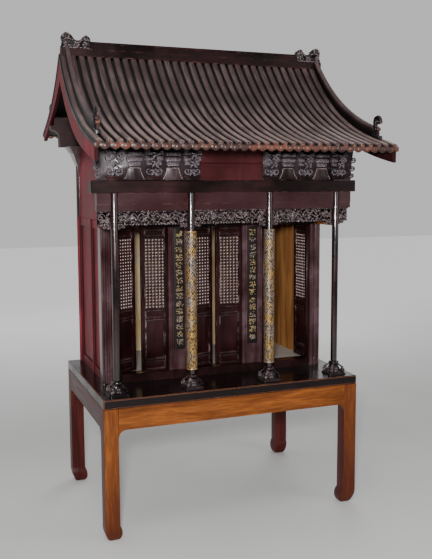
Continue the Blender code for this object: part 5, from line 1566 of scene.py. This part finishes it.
def leaf_parts(width, height):
    """A leaf with its pivot at the origin, running to +X: stiles and rails round four panels and a
    lattice, and thin lines along the rails and stiles."""
    s = sizes()
    half = LEAF_THICKNESS / 2
    low_x, high_x = LEAF_STILE - half, width - half - LEAF_STILE
    round_edge = bend(0.0, 0.0, half, 90.0, 270.0, 16)
    hanging_stile = np.concatenate([round_edge, [(low_x, -half), (low_x, half)]])
    parts = [
        slab(hanging_stile, "Z", 0.0, height, 0.0008),
        bar((high_x, -half, 0.0), (width - half, half, height), 0.0008),
    ]
    known = sum(h for h in PANEL_HEIGHTS if h)
    lattice = height - 6 * LEAF_RAIL - known
    z = 0.0
    for given in PANEL_HEIGHTS:
        parts.append(bar((low_x, -half + 0.001, z), (high_x, half - 0.001, z + LEAF_RAIL), 0.0006))
        z += LEAF_RAIL
        panel = given or lattice
        if given:
            parts.append(bar((low_x, -0.0028, z), (high_x, 0.0028, z + panel), 0.0005))
            field = (low_x + 0.005, -0.0042, z + 0.004), (high_x - 0.005, 0.0042, z + panel - 0.004)
            parts.append(bar(*field, 0.0014))
        else:
            grid = s.lattice_columns, s.lattice_rows, s.lattice_bar
            parts += lattice_bars(low_x, high_x, z, z + panel, *grid)
        for face in (-1.0, 1.0):
            for level in (z + 0.0016, z + panel - 0.0016):
                path = np.full((6, 3), (0.0, face * (half - 0.0022), level))
                path[:, 0] = np.linspace(low_x + 0.001, high_x - 0.001, 6)
                parts.append(strand(path, s.line_width, 0.0032, FRONT * face, 6, paint=3))
            for x in (low_x + 0.0014, high_x - 0.0014):
                path = np.full((6, 3), (x, face * (half - 0.003), 0.0))
                path[:, 2] = np.linspace(z, z + panel, 6)
                parts.append(strand(path, s.line_width * 0.7, 0.0026, FRONT * -face, 6, 0.6))
        z += panel
    parts.append(bar((low_x, -half + 0.001, z), (high_x, half - 0.001, height), 0.0006))
    pins = [(0.0, -PIN_REACH), (PIN_RADIUS, -PIN_REACH), (PIN_RADIUS, height + PIN_REACH),
            (0.0, height + PIN_REACH)]
    parts.append(turned(pins, 0.0, 0.0, 16))
    return parts


def build_doors():
    """The six leaves on their own bodies, each turned to its angle at rest about its hinge."""
    joints = {j["child"]: j for j in frame["joints"]}
    finishes = lacquers("leaf_finish", "boss_paint", "lattice_lacquer", "line_paint")
    for name, angle in zip(LEAVES, LEAF_ANGLES):
        joint = joints[f"leaf_{name}"]
        pivot_x, pivot_y = joint["pos_m"][:2]
        side = joint["axis"][2]
        low, high = span(f"door_{name}")
        bottom, top = low[2] + LEAF_CLEAR, high[2] - LEAF_CLEAR
        first, last = BAY_SIDES[name.split("_")[0]]
        width = (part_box(last)[0][0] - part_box(first)[1][0] - 3 * LEAF_GAP) / 2
        turn = math.radians(side * angle)

        def place(points):
            x, y, z = points.T
            x = x * side
            return np.stack([pivot_x + x * math.cos(turn) - y * math.sin(turn),
                             pivot_y + x * math.sin(turn) + y * math.cos(turn), z + bottom], axis=1)

        parts = [moved(p, place) for p in leaf_parts(width, top - bottom)]
        piece(f"leaf_{name}_fine", parts, finishes, [f"door_{name}"], body=f"leaf_{name}",
              sharp=50.0)


# Walls and stand


# Upper walls: middle of the rear ring post, height and reach of the corbel, and its depth
RING_MIDDLE = 0.0166
CORBEL_HEIGHT = 0.142
CORBEL_REACH = 0.060
CORBEL_DEPTH = 0.120


def build_walls():
    """Upper side walls with a scalloped corbel that flares out and forwards at the rear corner."""
    for word, side in (("left", -1), ("right", 1)):
        low, high = span(f"upper_side_{word}")
        panel_low, panel_high = span(f"side_panel_{word}")
        inner = panel_high[0] if side < 0 else panel_low[0]
        face = side * (abs(inner) + 0.020)
        x_low, x_high = sorted((inner, face))
        seam, top, back = float(panel_high[2]) + GAP, high[2], high[1]
        porch = float(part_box("head_rail")[0][1]) + 0.050
        outline = [(back, seam), (back, top), (low[1], top), (low[1], low[2]), (porch, low[2]), (porch, seam)]
        parts = [slab(np.array(outline), "X", x_low, x_high, 0.001)]
        centre = side * (abs(inner) + RING_MIDDLE)
        ring = bend(centre, back - RING_MIDDLE, 0.0158, 0.0, 360.0, 28)[:-1]
        parts.append(slab(ring, "Z", seam, top, 0.0005, paint=1))
        share = np.linspace(0.0, 1.0, 26)
        scallops = 0.10 * np.abs(np.sin(2.5 * math.pi * share)) * (1.0 - share)
        reach = 0.1 * share + 0.9 * share**2.2 + scallops
        spread = 0.12 + 0.88 * share**1.7
        outer = face + side * reach * CORBEL_REACH
        front = back - RING_MIDDLE - spread * CORBEL_DEPTH
        z = top - CORBEL_HEIGHT + share * CORBEL_HEIGHT
        root = inner + side * 0.001
        tight = outer - side * 0.003
        corners = ((root, front), (tight, front), (outer, front + 0.003), (outer, back - 0.003),
                   (tight, back - 0.001), (root, back - 0.001))
        lines = [np.stack(np.broadcast_arrays(x, y, z), axis=1) for x, y in corners]
        parts.append(surface(np.stack(lines, axis=1), wrap_columns=True, caps=True, paint=1))
        piece(f"upper_wall_{word}", parts, lacquers("wall_lacquer", "post_lacquer"),
              [f"upper_side_{word}"])


HOOF_HEIGHT = 0.060
LEG_SIZE = 0.058


def leg_rings(side_x, side_y, half_x, half_y, size, top):
    """A square leg with softened corners. Near the ground the outer faces draw in and the inner
    faces swell to a round hoof, then turn in under it."""
    z = np.concatenate([np.linspace(0.0, 0.074, 26), [0.080, 0.10, 0.2, 0.35, top - 0.001, top]])
    share = np.clip(z / HOOF_HEIGHT, 0.0, 1.0)
    outer = 0.016 * (1.0 - share) ** 2.2
    swell = 0.0096 * np.sin(math.pi * share**0.8) ** 0.7 * (z < HOOF_HEIGHT)
    trim = np.where(z >= top - 0.0005, 0.0012, 0.0) + np.where(z <= 0.0005, 0.002, 0.0)
    round_off = 0.002 + 0.006 * np.clip(1.0 - z / 0.05, 0.0, 1.0)
    turn = np.radians(np.linspace(0.0, 90.0, 5))
    near, far = outer + trim + round_off, size + swell - trim - round_off
    rings = []
    for cx, cy, start in ((1, 1, 0.0), (0, 1, 90.0), (0, 0, 180.0), (1, 0, 270.0)):
        angle = turn + math.radians(start)
        x = np.where(cx, far, near)[:, None] + round_off[:, None] * np.cos(angle)
        y = np.where(cy, far, near)[:, None] + round_off[:, None] * np.sin(angle)
        level = np.broadcast_to(z[:, None], x.shape)
        rings.append(np.stack([side_x * (half_x - x), side_y * (half_y - y), level], axis=-1))
    return surface(np.concatenate(rings, axis=1), wrap_columns=True, caps=True)


def build_stand():
    """The four legs under the corners of the base board, and the finish of the aprons."""
    half_x, half_y = span("base_board")[1][:2]
    legs = stand_wood("stand_leg_wood", (1.0, 1.0, 0.09), leg=True)
    for depth, side_y in (("front", -1), ("back", 1)):
        for word, side_x in (("left", -1), ("right", 1)):
            name = f"stand_leg_{depth}_{word}"
            shape = leg_rings(side_x, side_y, half_x, half_y, LEG_SIZE, float(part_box(name)[1][2]))
            piece(f"leg_{depth}_{word}", [shape], [legs], [name])
    give(stand_wood("apron_wood_across", (0.09, 1.0, 1.0)), "apron_front", "apron_back")
    give(stand_wood("apron_wood_deep", (1.0, 0.09, 1.0)), "apron_left", "apron_right")


def build_carried_over():
    """Finishes of the nodes whose solids are kept."""
    give(lacquered("board_lacquer"), "base_board")
    give(lacquered("case_lacquer"), "sill", "head_rail", "ceiling_board")
    give(lacquered("wall_lacquer"), "side_panel_left", "side_panel_right")
    give(lacquered("red_lacquer"), "frieze_board")
    give(lacquered("beam_lacquer"), "architrave", "ridge_board", "rear_purlin")
    give(lacquered("tie_lacquer"), "tie_beam")
    give(bare_wood("back_wall_wood", (1.0, 1.0, 0.10)), "back_panel")
    give(floor_wood(), "case_floor")


# Stage


def area_light(name, place, target, size, power):
    """A soft square light that looks at a point."""
    data = bpy.data.lights.new(name, "AREA")
    data.size = size
    data.energy = power
    thing = bpy.data.objects.new(name, data)
    bpy.context.scene.collection.objects.link(thing)
    away = np.array(place) - np.array(target)
    yaw = math.atan2(away[0], -away[1])
    tilt = math.atan2(math.hypot(away[0], away[1]), away[2])
    thing.location = place
    thing.rotation_euler = Euler((tilt, 0.0, yaw))


def build_floor():
    """A wide floor just under the feet."""
    edge = np.array((-FLOOR_REACH, FLOOR_REACH))
    x, y = np.meshgrid(edge, edge)
    sheet = surface(np.stack([x, y, np.full((2, 2), -0.0002)], axis=-1))
    mesh = bpy.data.meshes.new("studio_floor")
    mesh.from_pydata(sheet["points"].tolist(), [], sheet["quads"].tolist())
    mesh.materials.append(plain_floor())
    floor = bpy.data.objects.new("studio_floor", mesh)
    bpy.context.scene.collection.objects.link(floor)


def build_world():
    """The surroundings: darker in front of the work than behind it."""
    world = bpy.data.worlds.new("studio")
    world.use_nodes = True
    tree = world.node_tree
    direction = add(tree, "ShaderNodeTexCoord").outputs["Generated"]
    ahead = ramp(tree, along_axis(tree, direction, "Y"), -0.1, 0.7)
    tone = blend_colours(tree, ahead, FRONT_TONE, BACKGROUND)
    tree.links.new(tone, tree.nodes["Background"].inputs["Color"])
    bpy.context.scene.world = world


def build_camera():
    """The camera at the photo's place, with its lens."""
    data = bpy.data.cameras.new("photo_camera")
    data.lens = LENS_MM
    data.sensor_width = SENSOR_MM
    data.shift_x = SHIFT_X
    data.shift_y = SHIFT_Y
    data.clip_start = 0.05
    data.clip_end = 60.0
    camera = bpy.data.objects.new("photo_camera", data)
    bpy.context.scene.collection.objects.link(camera)
    camera.location = CAMERA_PLACE
    turn = np.radians((90.0 - CAMERA_DOWN_DEG, CAMERA_ROLL_DEG, -CAMERA_RIGHT_DEG))
    camera.rotation_euler = Euler(turn)
    bpy.context.scene.camera = camera


def build_stage():
    """Floor, lights, surroundings and camera."""
    build_floor()
    for light in LIGHTS:
        area_light(*light)
    build_world()
    build_camera()


# Operators and panel


class BuildStep:
    """What the operators share: each runs its own build function."""

    def execute(self, context):
        self.build()
        return {"FINISHED"}


class SHRINE_OT_stand(BuildStep, bpy.types.Operator):
    """Build the table stand's legs and finish its aprons"""
    bl_idname = "shrine.stand"
    bl_label = "Stand"
    build = staticmethod(build_stand)


class SHRINE_OT_walls(BuildStep, bpy.types.Operator):
    """Build the upper side walls with their corbels"""
    bl_idname = "shrine.walls"
    bl_label = "Walls"
    build = staticmethod(build_walls)


class SHRINE_OT_posts(BuildStep, bpy.types.Operator):
    """Build the beaded posts, the pilasters and the gilt boards"""
    bl_idname = "shrine.posts"
    bl_label = "Posts"
    build = staticmethod(build_posts)


class SHRINE_OT_doors(BuildStep, bpy.types.Operator):
    """Build the six lattice leaves on their hinges"""
    bl_idname = "shrine.doors"
    bl_label = "Doors"
    build = staticmethod(build_doors)


class SHRINE_OT_columns(BuildStep, bpy.types.Operator):
    """Build the porch columns, their carved bases and the gilt sleeves"""
    bl_idname = "shrine.columns"
    bl_label = "Columns"
    build = staticmethod(build_columns)


class SHRINE_OT_friezes(BuildStep, bpy.types.Operator):
    """Build the openwork friezes under the beams"""
    bl_idname = "shrine.friezes"
    bl_label = "Friezes"
    build = staticmethod(build_friezes)


class SHRINE_OT_brackets(BuildStep, bpy.types.Operator):
    """Build the two sets of carved brackets"""
    bl_idname = "shrine.brackets"
    bl_label = "Brackets"
    build = staticmethod(build_brackets)


class SHRINE_OT_roof(BuildStep, bpy.types.Operator):
    """Build the tiled slopes with their eaves"""
    bl_idname = "shrine.roof"
    bl_label = "Roof tiles"
    build = staticmethod(build_roof)


class SHRINE_OT_ridges(BuildStep, bpy.types.Operator):
    """Build the gable boards, the hanging ridges and the ridge heads"""
    bl_idname = "shrine.ridges"
    bl_label = "Ridges"
    build = staticmethod(build_ridges)


class SHRINE_OT_finishes(BuildStep, bpy.types.Operator):
    """Give the kept solids their finishes"""
    bl_idname = "shrine.finishes"
    bl_label = "Kept solids"
    build = staticmethod(build_carried_over)


class SHRINE_OT_stage(BuildStep, bpy.types.Operator):
    """Set the floor, the lights and the camera"""
    bl_idname = "shrine.stage"
    bl_label = "Stage"
    build = staticmethod(build_stage)


OPERATORS = (SHRINE_OT_stand, SHRINE_OT_walls, SHRINE_OT_posts, SHRINE_OT_doors, SHRINE_OT_columns,
             SHRINE_OT_friezes, SHRINE_OT_brackets, SHRINE_OT_roof, SHRINE_OT_ridges, SHRINE_OT_finishes,
             SHRINE_OT_stage)


class SHRINE_PT_build(bpy.types.Panel):
    """Sizes, colours and the pieces to build"""
    bl_idname = "SHRINE_PT_build"
    bl_label = "Ancestral shrine"
    bl_space_type = "VIEW_3D"
    bl_region_type = "UI"
    bl_category = "Shrine"

    def draw(self, context):
        for group in (context.scene.shrine_sizes, context.scene.shrine_colours):
            box = self.layout.box()
            for key in group.__annotations__:
                box.prop(group, key)
        for operator in OPERATORS:
            self.layout.operator(operator.bl_idname)


CLASSES = (ShrineColours, ShrineSizes, *OPERATORS, SHRINE_PT_build)


def register():
    """Registers the classes and gives the scene its sizes and colours."""
    for entry in CLASSES:
        bpy.utils.register_class(entry)
    bpy.types.Scene.shrine_sizes = PointerProperty(type=ShrineSizes)
    bpy.types.Scene.shrine_colours = PointerProperty(type=ShrineColours)


def unregister():
    """Takes back what register made."""
    del bpy.types.Scene.shrine_colours
    del bpy.types.Scene.shrine_sizes
    for entry in reversed(CLASSES):
        bpy.utils.unregister_class(entry)


def main():
    """Runs every operator."""
    register()
    for operator in OPERATORS:
        group, name = operator.bl_idname.split(".")
        getattr(getattr(bpy.ops, group), name)()


if __name__ == "__main__":
    main()
